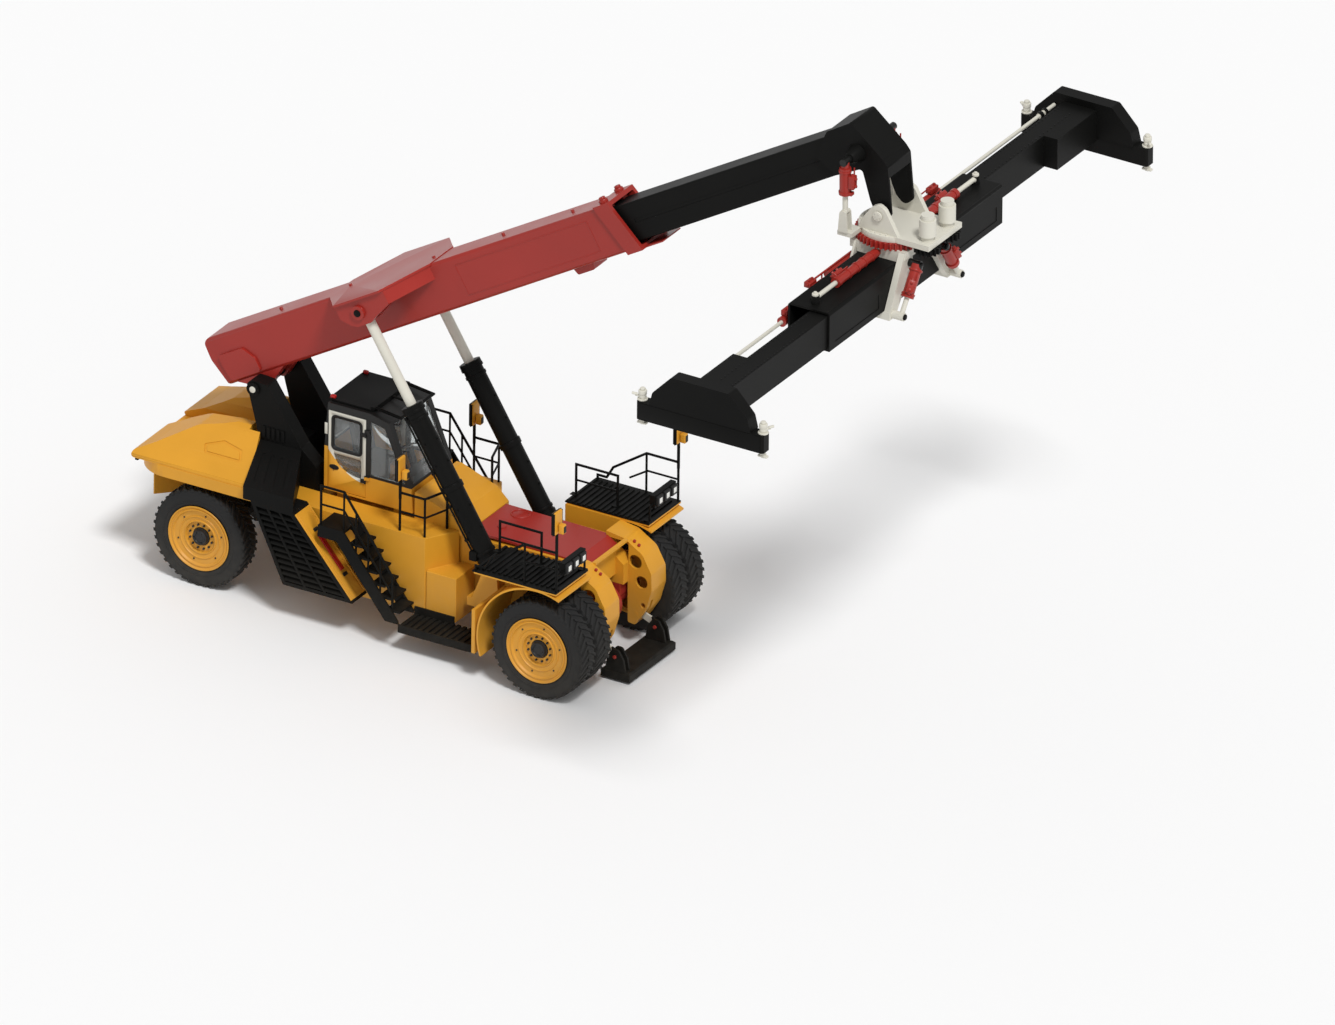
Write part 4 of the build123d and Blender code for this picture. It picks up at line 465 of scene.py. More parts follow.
pane_margin, pane_corner, half_pane = 0.080, 0.070, 0.004
pane_rear, pane_front = door_rear + pane_margin, door_front - pane_margin
upper_low, upper_high, lower_low, lower_high = 2.72, 3.31, 2.30, 2.64
seal_lap, seal_lip, seal_inset = 0.022, 0.006, 0.024
pull_x, pull_z = door_rear + 0.115, door_foot + 0.40
pull_r, pull_tube = 0.062, 0.011
hinge_y, hinge_r, hinge_tall, strap_y, strap_long = 0.660, 0.015, 0.070, 0.636, 0.085
hinge_heights = (2.25, 3.08)
for hand, side in hands:
    node = "cab_door_" + side
    outer, inner = hand * door_face, hand * (door_face - door_wall)
    near, far = min(outer, inner), max(outer, inner)
    leaf = rounded_box("leaf_" + node, (door_rear, near, door_foot), (door_front, far, door_top), 0.010)
    cut(leaf, rounded_box("cutter", (pane_rear, near - 0.1, upper_low), (pane_front, far + 0.1, upper_high),
                          pane_corner, 6, axis=1))
    # the lower pane is a quarter of an oval with its centre at the top front
    bpy.ops.mesh.primitive_cylinder_add(vertices=96, radius=1, depth=0.4, rotation=(pi / 2, 0, 0),
                                        location=(pane_front, (near + far) / 2, lower_high))
    quarter = bpy.context.object
    quarter.scale = (pane_front - pane_rear - 0.030, lower_high - lower_low, 1)
    bpy.ops.object.transform_apply()
    cut(quarter, rounded_box("cutter", (pane_rear, near - 0.05, lower_low - 0.1),
                             (pane_front, far + 0.05, lower_high), 0.035, 4, axis=1), 'INTERSECT')
    lower_pane = copied(quarter)
    cut(leaf, quarter)
    finish(leaf, node, door_paint)
    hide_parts(node)
    # rubber round the upper pane
    lip = hand * (door_face + seal_lip)
    seal = rounded_box("seal_" + node, (pane_rear - seal_lap, min(lip, inner), upper_low - seal_lap),
                       (pane_front + seal_lap, max(lip, inner), upper_high + seal_lap), 0.085, 6, axis=1)
    cut(seal, rounded_box("cutter", (pane_rear + seal_inset, near - 0.1, upper_low + seal_inset),
                          (pane_front - seal_inset, far + 0.1, upper_high - seal_inset), 0.055, 6, axis=1))
    finish(seal, node, rubber_seal)
    middle = hand * (door_face - 0.5 * door_wall)
    pane = rounded_box("pane_" + node, (pane_rear, middle - half_pane, upper_low),
                       (pane_front, middle + half_pane, upper_high), pane_corner, 6, axis=1)
    finish(pane, node, dark_glass)
    cut(lower_pane, rounded_box("cutter", (pane_rear - 0.1, middle - half_pane, lower_low - 0.1),
                                (pane_front + 0.1, middle + half_pane, lower_high + 0.1), 0.001, 1),
        'INTERSECT')
    lower_pane.name = "lower_pane_" + node
    finish(lower_pane, node, dark_glass)
    # recessed pull near the rear edge, and the hinge knuckles at the front
    bpy.ops.mesh.primitive_torus_add(major_radius=pull_r, minor_radius=pull_tube, major_segments=32,
                                     minor_segments=8, rotation=(pi / 2, 0, 0),
                                     location=(pull_x, outer, pull_z))
    pull = bpy.context.object
    pull.scale = (1.25, 0.62, 0.7)
    bpy.ops.object.transform_apply()
    cup = slab("cup", (pull_x, outer, pull_z), (-0.070, 0.070), 0.004, (-0.035, 0.035), 0.003)
    grip = slab("grip", (pull_x, outer, pull_z), (-0.012, 0.012), 0.014, (-0.048, 0.048), 0.008)
    finish(joined("pull_" + node, [pull, cup, grip]), node, rubber_seal)
    knuckles = []
    for height in hinge_heights:
        bpy.ops.mesh.primitive_cylinder_add(
            vertices=20, radius=hinge_r, depth=hinge_tall,
            location=(door_front + 0.003, hand * hinge_y, height + hinge_tall / 2))
        knuckle = bpy.context.object
        bevelled(knuckle, 0.003, 2)
        bpy.ops.object.transform_apply()
        strap_a, strap_b = sorted((hand * strap_y, hand * hinge_y))
        knuckles += [knuckle, rounded_box("strap", (door_front - strap_long, strap_a, height),
                                          (door_front + 0.006, strap_b, height + hinge_tall), 0.006)]
    finish(joined("hinges_" + node, knuckles), node, rubber_seal)

# ------------------------ cab roof and inside
# A black roof with its tube guard and red marker lamps, a cloth seat and a grey console with
# its steering wheel.
coat(black, "cab_roof")
cloth = enamel("seat_cloth", (0.030, 0.030, 0.032), rough=0.9, depth=0.3, scale=8)
coat(cloth, "seat")
plastic = enamel("console_plastic", (0.045, 0.045, 0.047), rough=0.6, depth=0.1)
coat(plastic, "console")
roof_low, roof_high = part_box("cab_roof")
lamp_red = enamel("lamp_red", (0.42, 0.012, 0.010), rough=0.2, depth=0.05)
marker_inset, post_y, reflector_low, reflector_high = 0.06, 0.645, 2.95, 3.15
markers, reflectors = [], []
for hand in (-1, 1):
    at = (roof_low.x + marker_inset, hand * (roof_high.y - marker_inset), roof_high.z)
    markers.append(slab("marker", at, (-0.045, 0.045), 0.03, (-0.062, -0.005), 0.012))
finish(joined("roof_markers", markers), "chassis", lamp_red)
for hand in (-1, 1):
    y_a, y_b = sorted((hand * (post_y - 0.008), hand * post_y))
    reflectors.append(rounded_box("plate", (door_rear - 0.066, y_a, reflector_low),
                                  (door_rear - 0.014, y_b, reflector_high), 0.003))
finish(joined("post_reflectors", reflectors), "chassis", bone)

# ------------------------ mirrors and lamps
# Mirror heads and work lamps stand on the guard rails: yellow moulded shells with a dark
# glass, and three square lamps with pale lenses on each platform.
silver = enamel("mirror_glass", (0.55, 0.57, 0.58), rough=0.05, depth=0.0, metal=1.0)
ledge_low, ledge_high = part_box("ledge_rails")
mirrors = [  # x, |y|, middle height, half width
    (ledge_low.x + 0.0275, ledge_high.y - 0.12, 3.01, 0.118), (axle_x + 0.345, 1.90, 3.27, 0.125)]
half_tall = 0.205
for index, (x, y, z, wide) in enumerate(mirrors):
    for hand, side in hands:
        at = (x, hand * y, z)
        shell = slab("mirror_head", at, (-0.034, 0.040), wide, (-half_tall, half_tall), 0.036, 5)
        low_lamp = slab("low_lamp", at, (0.050, 0.150), 0.052, (-0.175, -0.010), 0.020, 4)
        finish(joined(f"mirror_{index}_{side}", [shell, low_lamp]), "chassis", yellow)
        glass = slab(f"mirror_glass_{index}_{side}", at, (-0.043, -0.034), wide - 0.03, (-0.175, 0.175),
                     0.003, 2)
        finish(glass, "chassis", silver)
        trim = [slab("bezel", at, (-0.040, -0.020), wide - 0.010, (-0.195, 0.195), 0.008),
                slab("bead", at, (-0.010, 0.006), wide + 0.004, (-0.209, 0.209), 0.007),
                slab("clamp", at, (0.030, 0.060), 0.030, (-0.120, -0.060), 0.006),
                slab("low_lens", at, (0.146, 0.156), 0.036, (-0.150, -0.040), 0.004, 2)]
        finish(joined(f"mirror_trim_{index}_{side}", trim), "chassis", rubber_seal)
lens_white = enamel("lens_white", (0.72, 0.72, 0.68), rough=0.12, depth=0.0)
lamp_x, lamp_z, lamp_places = axle_x + 0.440, 2.350, (1.640, 1.420, 1.200)
lenses, rims = [], []
for hand in (-1, 1):
    for y in lamp_places:
        at = (lamp_x, hand * y, lamp_z)
        lenses.append(slab("lens", at, (-0.006, 0.010), 0.042, (-0.047, 0.047), 0.008))
        rims.append(slab("rim", at, (-0.060, 0.004), 0.084, (-0.088, 0.088), 0.014))
finish(joined("work_lamp_lenses", lenses), "chassis", lens_white)
finish(joined("work_lamp_rims", rims), "chassis", rubber_seal)

# ------------------------ counterweight trim
# Round red tail lamps in black brackets, two by two, on the lower rear face of the cast
# counterweight.
tail_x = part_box("counterweight")[0].x
tail_y, tail_z, lamp_r, lamp_step = 1.02, 1.90, 0.048, 0.06
lamps, brackets = [], []
for hand in (-1, 1):
    at = (tail_x, hand * tail_y, tail_z)
    brackets.append(slab("bracket", at, (0.045, 0.105), 0.13, (-0.085, 0.085), 0.010))
    for step in (-lamp_step, lamp_step):
        bpy.ops.mesh.primitive_uv_sphere_add(segments=24, ring_count=12, radius=lamp_r,
                                             location=(tail_x + 0.050, hand * tail_y + step, tail_z))
        lamp = bpy.context.object
        lamp.scale = (0.4, 1, 1)
        bpy.ops.object.transform_apply()
        bpy.ops.object.shade_smooth_by_angle(angle=radians(40))
        lamps.append(lamp)
finish(joined("tail_lamp_brackets", brackets), "chassis", black)
finish(joined("tail_lamps", lamps), "chassis", lamp_red)

# ------------------------ paint on rods and joints
# Piston rods are bone white and the joints' knuckles black. Where a CAD piece holds a barrel and
# its rod together, the paint picks the rod out by its distance from the cylinder's axis.


def marked(name, base, marks):
    """The base paint with other colours near some lines; the same on both hands."""
    material = base.copy()
    material.name = name
    tree = material.node_tree
    place = wired(tree, "TexCoord", {})
    # these pieces have X and Z over zero, so that this only folds the right side onto the left
    folded = wired(tree, "VectorMath", {0: place.outputs["Object"]}, operation='ABSOLUTE').outputs["Vector"]
    for colour, start, end, radius in marks:
        start, run = Vector(start), Vector(end) - Vector(start)
        local = wired(tree, "VectorMath", {0: folded, 1: start}, operation='SUBTRACT').outputs["Vector"]
        share = wired(tree, "VectorMath", {0: local, 1: run / run.length_squared}, operation='DOT_PRODUCT')
        inside = wired(tree, "Clamp", {"Value": share.outputs["Value"]})
        foot = wired(tree, "VectorMath", {0: run, "Scale": inside.outputs[0]}, operation='SCALE')
        away = wired(tree, "VectorMath", {0: local, 1: foot.outputs["Vector"]}, operation='DISTANCE')
        near = wired(tree, "Math", {0: away.outputs["Value"], 1: radius}, operation='LESS_THAN')
        overlay(tree, near.outputs[0], colour)
    return material


spread_low, spread_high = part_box("spreader_beam")
spread_x = (spread_low.x + spread_high.x) / 2
reach_x, reach_low_z, reach_high_z, reach_rod_r = spread_low.x - 0.135, 8.45, 8.70, 0.045
rod_marks = [(bone_rgb, (reach_x, 2.2, z), (reach_x, 5.80, z), reach_rod_r)
             for z in (reach_low_z, reach_high_z)]
coat(marked("beam_black", black, rod_marks), "telescopic_beam_right", "telescopic_beam_left")
shift_z, shift_rod_r = 8.955, 0.046
shift_mark = (bone_rgb, (spread_x, 1.2, shift_z), (spread_x, 2.47, shift_z), shift_rod_r)
coat(marked("main_beam_black", black, [shift_mark]), "spreader_beam")
slope_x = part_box("slope_cylinders")[1].x - 0.108
slope_top, slope_foot = Vector((slope_x, 0.400, 8.830)), Vector((slope_x, 0.900, 8.110))
half_pin = forwards * 0.3
coat(marked("slope_red", red, [(bone_rgb, slope_top, slope_foot, 0.047),
                               (bone_rgb, slope_foot - half_pin, slope_foot + half_pin, 0.074),
                               (black_rgb, slope_top - half_pin, slope_top + half_pin, 0.072)]),
     "slope_cylinders")
eye = Vector((axle_x + 4.950, 0.720, 10.500))
half_eye = leftwards * 0.10
coat(marked("damper_red", red, [(black_rgb, eye - half_eye, eye + half_eye, 0.064)]),
     "damper_barrel_right", "damper_barrel_left")

# ------------------------ pipes, pins and bolts
# Steel pipes clipped along the lift barrels, round pin covers at the boom's joints, and the
# ring of bolts that holds the rotator together.


def rod(name, start, end, radius, sides=24, edge=0.004):
    """A round bar between two points with its end edges bevelled."""
    start, end = Vector(start), Vector(end)
    run = end - start
    bpy.ops.mesh.primitive_cylinder_add(vertices=sides, radius=radius, depth=run.length,
                                        location=(start + end) / 2,
                                        rotation=run.to_track_quat('Z', 'Y').to_euler())
    bar = bpy.context.object
    bar.name = name
    bpy.ops.object.transform_apply()
    bevelled(bar, edge, 2)
    bpy.ops.object.shade_smooth_by_angle(angle=radians(35))
    return bar


def stub(name, at, way, back, out, radius, sides, edge):
    """A short round bar along a direction, from behind a point to in front of it."""
    return rod(name, at - way * back, at + way * out, radius, sides, edge)


def band(at, way, half, outer, inner):
    """An open ring clamped around a barrel."""
    bpy.ops.mesh.primitive_cylinder_add(vertices=40, radius=outer, depth=half * 2, end_fill_type='NOTHING',
                                        location=at,
                                        rotation=way.normalized().to_track_quat('Z', 'Y').to_euler())
    ring = bpy.context.object
    bpy.ops.object.transform_apply()
    wall = ring.modifiers.new("wall", 'SOLIDIFY')
    wall.thickness, wall.offset = outer - inner, -1
    bpy.ops.object.modifier_apply(modifier="wall")
    bevelled(ring, 0.003, 2, least=40)
    bpy.ops.object.shade_smooth_by_angle(angle=radians(35))
    return ring


boom_tilt = radians(30.7)
boom_way = Vector((cos(boom_tilt), 0, sin(boom_tilt)))
boom_up = Vector((-boom_way.z, 0, boom_way.x))
pin_x, _, pin_z = middle_of("boom_pin")


def on_boom(along, over, y):
    """A point so far along the boom from its root pin, over the pin's line and to one side."""
    return Vector((pin_x, y, pin_z)) + boom_way * along + boom_up * over


trunnion_along, trunnion_over = 2.965, 0.725
lift_foot, lift_head = Vector((axle_x - 1.380, 0, 1.450)), on_boom(trunnion_along, trunnion_over, 0)
lift_way = (lift_head - lift_foot).normalized()
lift_side, lift_y, barrel_r = Vector((lift_way.z, 0, -lift_way.x)), 0.900, 0.160
# from here, places are measured along the barrel from its foot and reaches from its axis
pipe_start, bend_place, pipe_end, pipe_r = 0.45, 2.885, 2.90, 0.017
clip_places, stud_places, stud_reach = (0.70, 1.30, 1.90, 2.50), (0.80, 1.20, 2.00, 2.40), 0.155
lift_bands = ((2.96, 0.190), (2.82, 0.180), (1.60, 0.186), (0.40, 0.180))     # place, outer radius
half_valve = Vector((0.07, 0.05, 0.08))
for hand, side in hands:
    foot = lift_foot + Vector((0, hand * lift_y, 0))
    beside = lift_side * -0.125 + Vector((0, hand * 0.142, 0))
    bend = foot + lift_way * bend_place
    fittings = [rod("pipe", foot + lift_way * pipe_start + beside, foot + lift_way * pipe_end + beside,
                    pipe_r, 16, 0.002),
                rod("elbow", bend + beside, bend + beside * 0.55, pipe_r, 16, 0.002),
                rod("union", foot + lift_way * 2.86 + beside, foot + lift_way * 2.92 + beside,
                    0.028, 6, 0.002)]
    for place in clip_places:
        spot = foot + lift_way * place + beside
        fittings.append(stub("clip", spot, lift_way, 0.020, 0.020, 0.030, 16, 0.003))
        fittings.append(rod("stay", spot, spot - beside * 0.3, 0.014, 12, 0.002))
    for place, reach in lift_bands:
        fittings.append(band(foot + lift_way * place, lift_way, 0.022, reach, barrel_r))
    for place in stud_places:
        for way in (lift_side, leftwards * hand):
            spot = foot + lift_way * place + way * stud_reach
            fittings.append(rod("stud", spot, spot + way * 0.030, 0.020, 12, 0.004))
    valve = foot + lift_way * 0.42 + beside
    fittings.append(rounded_box("valve", valve - half_valve, valve + half_valve, 0.012))
    finish(joined("lift_pipes_" + side, fittings), "lift_barrel_" + side, black)

coat(black, "boom_pin")
pin_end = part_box("boom_pin")[1].y
pin_cap_r, pin_bolt_reach, pin_bolts = 0.055, 0.088, 8
covers, centres = [], []
for hand in (-1, 1):
    out, face = leftwards * hand, Vector((pin_x, hand * pin_end, pin_z))
    centres.append(stub("centre", face, out, 0.004, 0.012, pin_cap_r, 32, 0.005))
    for at in circle(face, pin_bolt_reach, pin_bolts, pi / pin_bolts, forwards, upwards):
        covers.append(stub("bolt", at, out, 0.003, 0.012, 0.011, 6, 0.001))
finish(joined("boom_pin_bolts", covers), "chassis", black)
finish(joined("boom_pin_centres", centres), "chassis", bone)

flange_top, ring_reach, ring_count = 9.270, 0.555, 36
slew = Vector((spread_x, 0, flange_top))
ring_bolts = []
for at in circle(slew, ring_reach, ring_count, pi / ring_count, forwards, leftwards):
    under_deck = at.x - slew.x > 0.25 * ring_reach and abs(at.y) < 0.9 * ring_reach
    under_ear = 0.415 < abs(at.y) < 0.515
    if not under_deck and not under_ear:
        ring_bolts.append(stub("bolt", at, upwards, 0.002, 0.022, 0.017, 6, 0.002))
finish(joined("rotator_bolts", ring_bolts), "rotator", bone)
head_x, head_y, head_z = axle_x + 5.450, 0.535, 9.570
cover_r, cover_tall, cover_bolt_reach = 0.085, 0.018, 0.062
head_covers = []
for hand in (-1, 1):
    out, at = leftwards * hand, Vector((head_x, hand * head_y, head_z))
    head_covers.append(stub("cover", at, out, 0.010, cover_tall, cover_r, 32, 0.006))
    for spot in circle(at + out * cover_tall, cover_bolt_reach, 6, 0, forwards, upwards):
        head_covers.append(stub("bolt", spot, out, 0, 0.010, 0.009, 6, 0.001))
finish(joined("head_pin_covers", head_covers), "boom_inner", bone)

# ------------------------ valve blocks and spreader pipes
# A cast valve block with its fittings sits on every hydraulic cylinder of the spreader, and a
# thin steel pipe runs along the rear of the main beam. All are sprayed with the cylinders.


def placed(piece, at, along, side):
    """Move a piece drawn at the origin: its X turns along one way and its Y towards the side."""
    along = Vector(along).normalized()
    side = (Vector(side) - along * along.dot(Vector(side))).normalized()
    up = along.cross(side)
    piece.data.transform(Matrix(((along.x, side.x, up.x, at[0]), (along.y, side.y, up.y, at[1]),
                                 (along.z, side.z, up.z, at[2]), (0, 0, 0, 1))))
    return piece


def valve_block(at, along, out, length=0.20, wide=0.11, deep=0.10):
    """A block lying along a cylinder, with two unions on its outer face and a pipe beside it."""
    at, along, out = Vector(at), Vector(along).normalized(), Vector(out).normalized()
    side = out.cross(along)
    corner = Vector((length / 2, wide / 2, deep / 2))
    pieces = [placed(rounded_box("block", -corner, corner, 0.014), at, along, side)]
    for step in (-0.28, 0.28):
        pieces.append(stub("union", at + along * step * length, out, 0, deep / 2 + 0.030, 0.027, 6, 0.004))
    pieces.append(stub("plug", at, along, length / 2 + 0.022, length / 2 + 0.022, 0.030, 20, 0.006))
    line = at - out * 0.010 + side * (wide / 2 + 0.004)
    pieces.append(stub("line", line, along, length / 2 + 0.11, length / 2 - 0.03, 0.013, 12, 0.002))
    return pieces


damper_bands, damper_band_r, damper_barrel_r = (10.330, 9.960), 0.105, 0.092
for hand, side in hands:
    y = hand * eye.y
    blocks = valve_block((eye.x + 0.140, y, 10.170), (0, 0, -1), (1, 0, 0), 0.23, 0.13)
    for height in damper_bands:
        blocks.append(band((eye.x, y, height), upwards, 0.016, damper_band_r, damper_barrel_r))
    blocks.append(slab("foot_block", (eye.x, y, 9.955), (0.060, 0.150), 0.05, (-0.030, 0.030), 0.012))
    finish(joined("damper_valve_" + side, blocks), "damper_barrel_" + side, red)
slope_way = (slope_foot - slope_top).normalized()
slope_valve_place, slope_bands, slope_band_r, slope_barrel_r = 0.38, (0.10, 0.50), 0.114, 0.098
blocks, knobs = [], []
for hand in (-1, 1):
    way = Vector((0, hand * slope_way.y, slope_way.z))
    top = Vector((slope_x, hand * slope_top.y, slope_top.z))
    foot = Vector((slope_x, hand * slope_foot.y, slope_foot.z))
    beside = Vector((0.45, hand * 0.72, 0.48)).normalized()
    beside = (beside - way * beside.dot(way)).normalized()
    blocks += valve_block(top + way * slope_valve_place + beside * 0.125, way, beside, 0.22, 0.12)
    for place in slope_bands:
        blocks.append(band(top + way * place, way, 0.016, slope_band_r, slope_barrel_r))
    for at in (top, foot):
        knobs.append(stub("knob", at, forwards, -0.050, 0.090, 0.052, 8, 0.010))
finish(joined("slope_valves", blocks), "saddle", red)
finish(joined("slope_knobs", knobs), "saddle", black)
shift_valve_y, shift_bands, anchor_y = 1.62, (0.78, 1.02, 1.50), 2.5
shift_band_r, shift_barrel_r = 0.088, 0.072
blocks, caps = [], []
for hand in (-1, 1):
    blocks += valve_block((spread_x - 0.115, hand * shift_valve_y, shift_z + 0.02), (0, hand, 0),
                          (-0.8, 0, 0.6), 0.24, 0.12)
    for y in shift_bands:
        blocks.append(band((spread_x, hand * y, shift_z), leftwards, 0.014, shift_band_r, shift_barrel_r))
finish(joined("shift_valves", blocks), "saddle", red)
for hand in (-1, 1):
    at = Vector((spread_x, hand * anchor_y, shift_z + 0.05))
    caps.append(stub("cap", at, upwards, 0.010, 0.035, 0.056, 28, 0.008))
    caps.append(stub("cap_nut", at, upwards, -0.030, 0.062, 0.030, 6, 0.004))
finish(joined("shift_anchor_caps", caps), "spreader", bone)
reach_bands, reach_band_r, reach_barrel_r = (0.14, 0.90, 1.70, 2.50), 0.086, 0.073   # behind the mouth
blocks = []
for hand, z, mouth in ((-1, reach_low_z, 2.67), (1, reach_high_z, 2.20)):
    blocks += valve_block((reach_x, hand * (mouth - 0.18), z + 0.125), (0, hand, 0), (0, 0, 1), 0.22, 0.12)
    for behind in reach_bands:
        blocks.append(band((reach_x, hand * (mouth - behind), z), leftwards, 0.016, reach_band_r,
                           reach_barrel_r))
pipe_z, stay_y, valve_y = 8.790, -1.42, -1.78
blocks.append(rod("pipe", (reach_x, -0.50, pipe_z), (reach_x, -1.72, pipe_z), pipe_r, 16, 0.003))
blocks.append(rod("stay", (reach_x, stay_y, pipe_z), (reach_x, stay_y, reach_low_z + 0.06),
                  0.014, 12, 0.002))
blocks += valve_block((reach_x, valve_y, pipe_z - 0.02), (0, -1, 0), (0, 0, 1), 0.20, 0.13)
blocks.append(rod("foot", (reach_x, valve_y, pipe_z), (reach_x, valve_y, reach_low_z + 0.05),
                  0.030, 16, 0.003))
finish(joined("reach_valves", blocks), "spreader", red)

# ------------------------ twistlock heads and wear strips
# Each twistlock turns in a flanged bone-white housing with a stepped cap and a hand lever. A
# strip of bolts holds the slide pads along the telescopic beams.
end_deck = 8.330                          # the top of the end beams, where the housings stand
housing = [  # name, foot and top over the deck, radius, edge
    ("neck", 0.030, 0.110, 0.062, 0.006), ("drum", 0.100, 0.175, 0.070, 0.010),
    ("crown", 0.170, 0.215, 0.046, 0.012)]
lock_long, lock_wide, lip_long = 0.088, 0.036, 1.135     # half lengths and half a width
bolt_rows = [(0.045, 2.86, 0.115), (0.310, 3.30, 0.10)]  # from the beam's middle, first bolt, step
row_bolts, runner_top = 24, 8.799
for hand, side in hands:
    for end in ("rear", "front"):
        lock = f"twistlock_{end}_{side}"
        x, y, _ = middle_of(lock)
        lock_low_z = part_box(lock)[0].z
        seat = Vector((x, y, end_deck))
        flange = [stub("flange", seat, upwards, -0.001, 0.028, 0.088, 40, 0.006)]
        for at in circle(seat + upwards * 0.026, 0.074, 6, 0.3, forwards, leftwards):
            flange.append(stub("bolt", at, upwards, 0, 0.014, 0.010, 6, 0.002))
        finish(joined(f"lock_flange_{end}_{side}", flange), "telescopic_beam_" + side, bone)
        head = [stub(name, seat, upwards, -low, high, radius, 36, edge)
                for name, low, high, radius, edge in housing]
        lever_way = Vector((1, hand * -0.9, 0) if end == "front" else (-1, hand * 0.5, 0)).normalized()
        lever = seat + upwards * 0.075
        head.append(stub("lever", lever, lever_way, 0, 0.120, 0.016, 16, 0.005))
        grip = rounded_box("grip", (0.085, -0.026, -0.014), (0.180, 0.026, 0.018), 0.010)
        head.append(placed(grip, lever, lever_way + upwards * 0.22, (-lever_way.y, lever_way.x, 0)))
        finish(joined(f"lock_head_{end}_{side}", head), lock, bone)
        foot = rounded_box("lock_foot", (x - lock_long, y - lock_wide, lock_low_z + 0.012),
                           (x + lock_long, y + lock_wide, lock_low_z + 0.048), 0.012, 3)
        finish(foot, lock, bone)
    beam = "telescopic_beam_" + side
    beam_low, beam_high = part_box(beam)
    face = beam_high.y if hand > 0 else beam_low.y
    lip_a, lip_b = sorted((face - hand * 0.004, face + hand * 0.008))
    lip = rounded_box("end_lip_" + side, (spread_x - lip_long, lip_a, beam_low.z + 0.020),
                      (spread_x + lip_long, lip_b, beam_low.z + 0.304), 0.004, 2)
    finish(lip, beam, black)
    bolts = []
    for aside, first, step in bolt_rows:
        for index in range(row_bolts):
            at = Vector((spread_x - hand * aside, hand * (first + index * step), runner_top))
            bolts.append(stub("bolt", at, upwards, 0, 0.011, 0.011, 6, 0.002))
    finish(joined("slide_bolts_" + side, bolts), beam, rubber_seal)

# ------------------------ trim on the body and the nose
# A yellow cover plate with its red lamp lies on the front edge of each louvre panel. The red deck
# has a filler ring, and small pins, plates and studs hold the nose arches and the foot.
cover_inset, half_cover, rib_y = 0.235, 0.225, 0.185
louvre_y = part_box("louvre_panels")[1].y
panel_top, panel_foot = Vector((axle_x - 4.710, 0, 2.000)), Vector((axle_x - 3.570, 0, 0.660))
panel_way = (panel_foot - panel_top).normalized()
half_run = (panel_foot - panel_top).length / 2


def on_panel(name, middle, start, end, y, half_wide, bottom, top, edge):
    """A plate on a louvre panel's slope, from start to end along it and around y across it."""
    return placed(rounded_box(name, (start, y - half_wide, bottom), (end, y + half_wide, top), edge),
                  middle, panel_way, leftwards)


covers, lamps, clips = [], [], []
for hand in (-1, 1):
    middle = panel_top + panel_way * half_run + leftwards * (hand * (louvre_y - cover_inset))
    covers.append(on_panel("cover", middle, -half_run + 0.06, half_run - 0.05, 0, half_cover,
                           0, 0.022, 0.008))
    for y in (-rib_y, rib_y):
        covers.append(on_panel("rib", middle, -half_run + 0.08, half_run - 0.07, y, 0.012,
                               0.018, 0.036, 0.006))
    lamps.append(on_panel("lamp", middle, -0.36, 0.34, 0, 0.050, 0.018, 0.052, 0.014))
    for step in (-0.44, 0.42):
        clips.append(on_panel("clip", middle, step - 0.03, step + 0.03, 0, 0.055, 0.018, 0.044, 0.008))
finish(joined("louvre_covers", covers), "chassis", yellow)
finish(joined("louvre_lamps", lamps), "chassis", lamp_red)
finish(joined("louvre_lamp_clips", clips), "chassis", rubber_seal)

deck_low, deck_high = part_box("front_deck")
filler = Vector((deck_low.x + 0.377, 0.365, deck_high.z - 0.023))
filler_r, bead_r, lid_r = 0.150, 0.016, 0.125
bpy.ops.mesh.primitive_torus_add(major_radius=filler_r, minor_radius=bead_r, major_segments=64,
                                 minor_segments=12, location=filler)
filler_ring = bpy.context.object
bpy.ops.object.transform_apply()
bpy.ops.object.shade_smooth_by_angle(angle=radians(50))
lid = stub("lid", filler, upwards, 0.020, 0.004, lid_r, 64, 0.004)
finish(joined("filler", [filler_ring, lid]), "chassis", red)

arch_y, foot_x, foot_z = 0.60, axle_x + 0.750, 0.440
arch_pins, foot_pins = [], []
for hand in (-1, 1):
    for x, z in ((1.075, 1.772), (0.990, 1.822)):
        at = Vector((x, hand * arch_y, z))
        arch_pins.append(rod("pin", at, at + Vector((0.018, 0, 0.035)), 0.026, 20, 0.006))
    for y in (0.543, 0.707):
        at = Vector((foot_x, hand * y, foot_z))
        foot_pins.append(stub("foot_pin", at, leftwards, 0.034, 0.034, 0.030, 24, 0.006))
finish(joined("arch_pins", arch_pins), "chassis", red)
finish(joined("foot_pins", foot_pins), "support_foot", red)
hinge = Vector((axle_x + 0.390, 0.625, 0.590))
foot_mark = (bone_rgb, hinge, hinge + Vector((0.165, 0, -0.070)), 0.092)
coat(marked("foot_black", black, [foot_mark]), "support_foot")

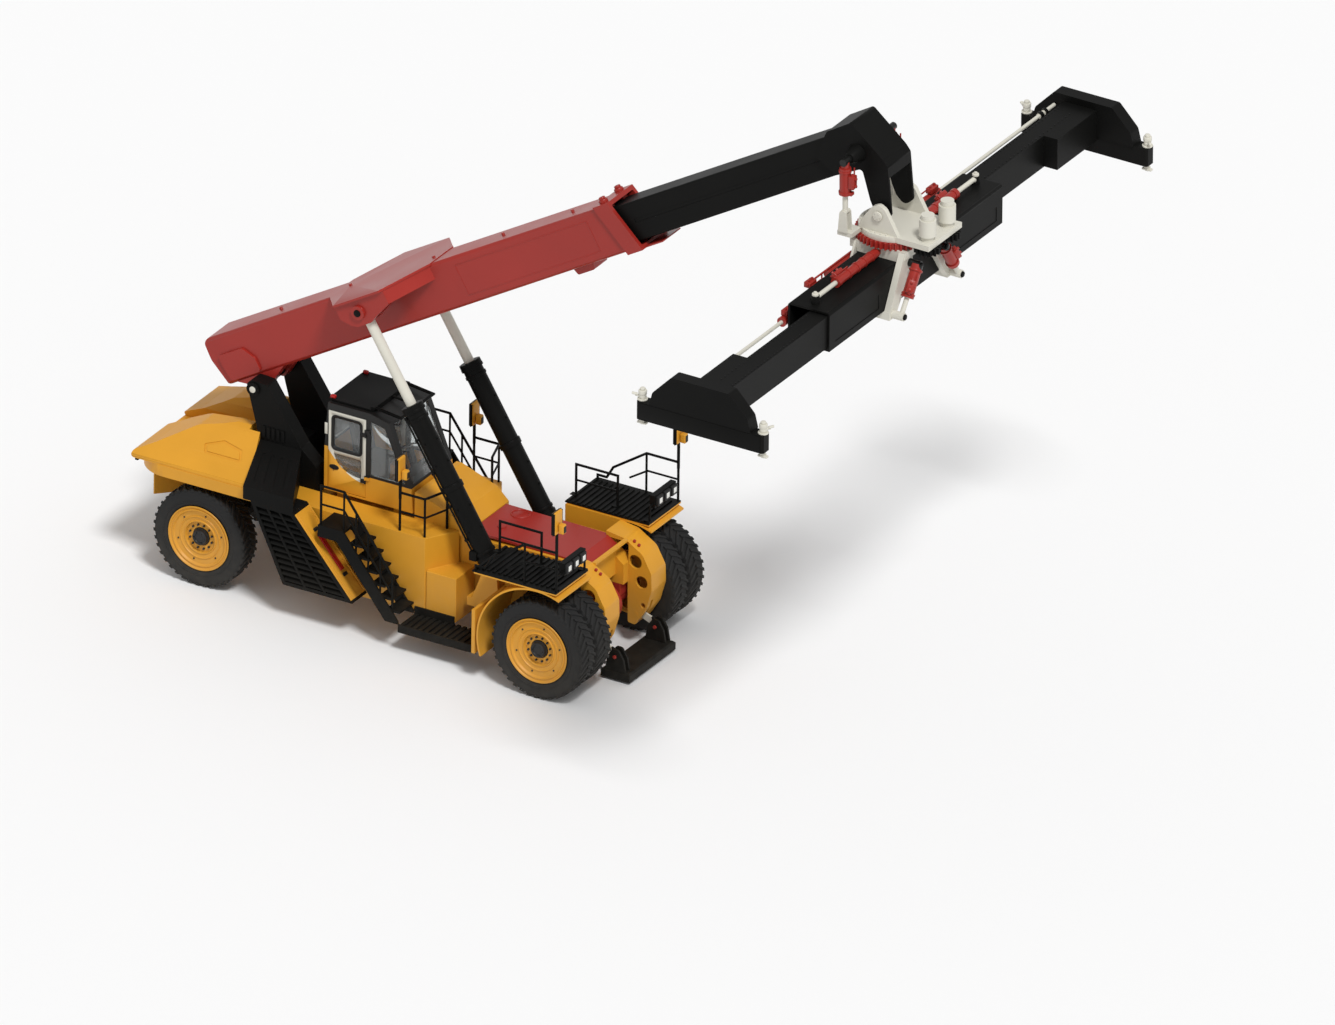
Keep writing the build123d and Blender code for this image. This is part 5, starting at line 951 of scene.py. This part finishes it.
# ------------------------ trim on the boom
# Thin raised frames of two bare sign panels on the boom's sides, black centres in the lift pins'
# bosses, two round lugs on top of the collar at the mouth, and cones under the dampers' pins.


def frame_bar(at, way, half_long, hand):
    """One bar of a sign's frame."""
    bar = rounded_box("edge", (-half_long, -0.010, -0.009), (half_long, 0.004, 0.009), 0.003, 2)
    return placed(bar, at, way, (0, hand, 0))


boom_wall = 0.361
sign_middle, sign_over, sign_half_long, sign_half_tall = 6.03, 0.545, 1.42, 0.27
signs, centres, collar_lugs = [], [], []
for hand in (-1, 1):
    face_y = hand * boom_wall
    for over in (0.275, 0.815):
        signs.append(frame_bar(on_boom(sign_middle, over, face_y), boom_way, sign_half_long, hand))
    for along in (4.61, 7.45):
        signs.append(frame_bar(on_boom(along, sign_over, face_y), boom_up, sign_half_tall, hand))
    trunnion = on_boom(trunnion_along, trunnion_over, hand * 1.105)
    centres.append(stub("centre", trunnion, leftwards * hand, 0.010, 0.014, 0.062, 36, 0.006))
    lug_at = on_boom(7.86, 0.990, hand * 0.24)
    collar_lugs.append(stub("lug_foot", lug_at, boom_up, 0.010, 0.060, 0.078, 36, 0.012))
    collar_lugs.append(stub("lug_top", lug_at, boom_up, -0.050, 0.105, 0.056, 36, 0.016))
cone_foot_r, cone_top_r, cone_tall, cone_y = 0.165, 0.085, 0.240, 0.478
bosses = []
for hand in (-1, 1):
    bpy.ops.mesh.primitive_cone_add(vertices=64, radius1=cone_foot_r, radius2=cone_top_r, depth=cone_tall,
                                    location=(eye.x, hand * cone_y, eye.z),
                                    rotation=(radians(-90 * hand), 0, 0))
    cone = bpy.context.object
    bpy.ops.object.transform_apply()
    bevelled(cone, 0.010, 3)
    bpy.ops.object.shade_smooth_by_angle(angle=radians(35))
    bosses.append(cone)
finish(joined("head_bosses", bosses), "boom_inner", black)
finish(joined("sign_frames", signs), "boom_outer", red)
finish(joined("trunnion_centres", centres), "boom_outer", black)
finish(joined("collar_lugs", collar_lugs), "boom_outer", red)
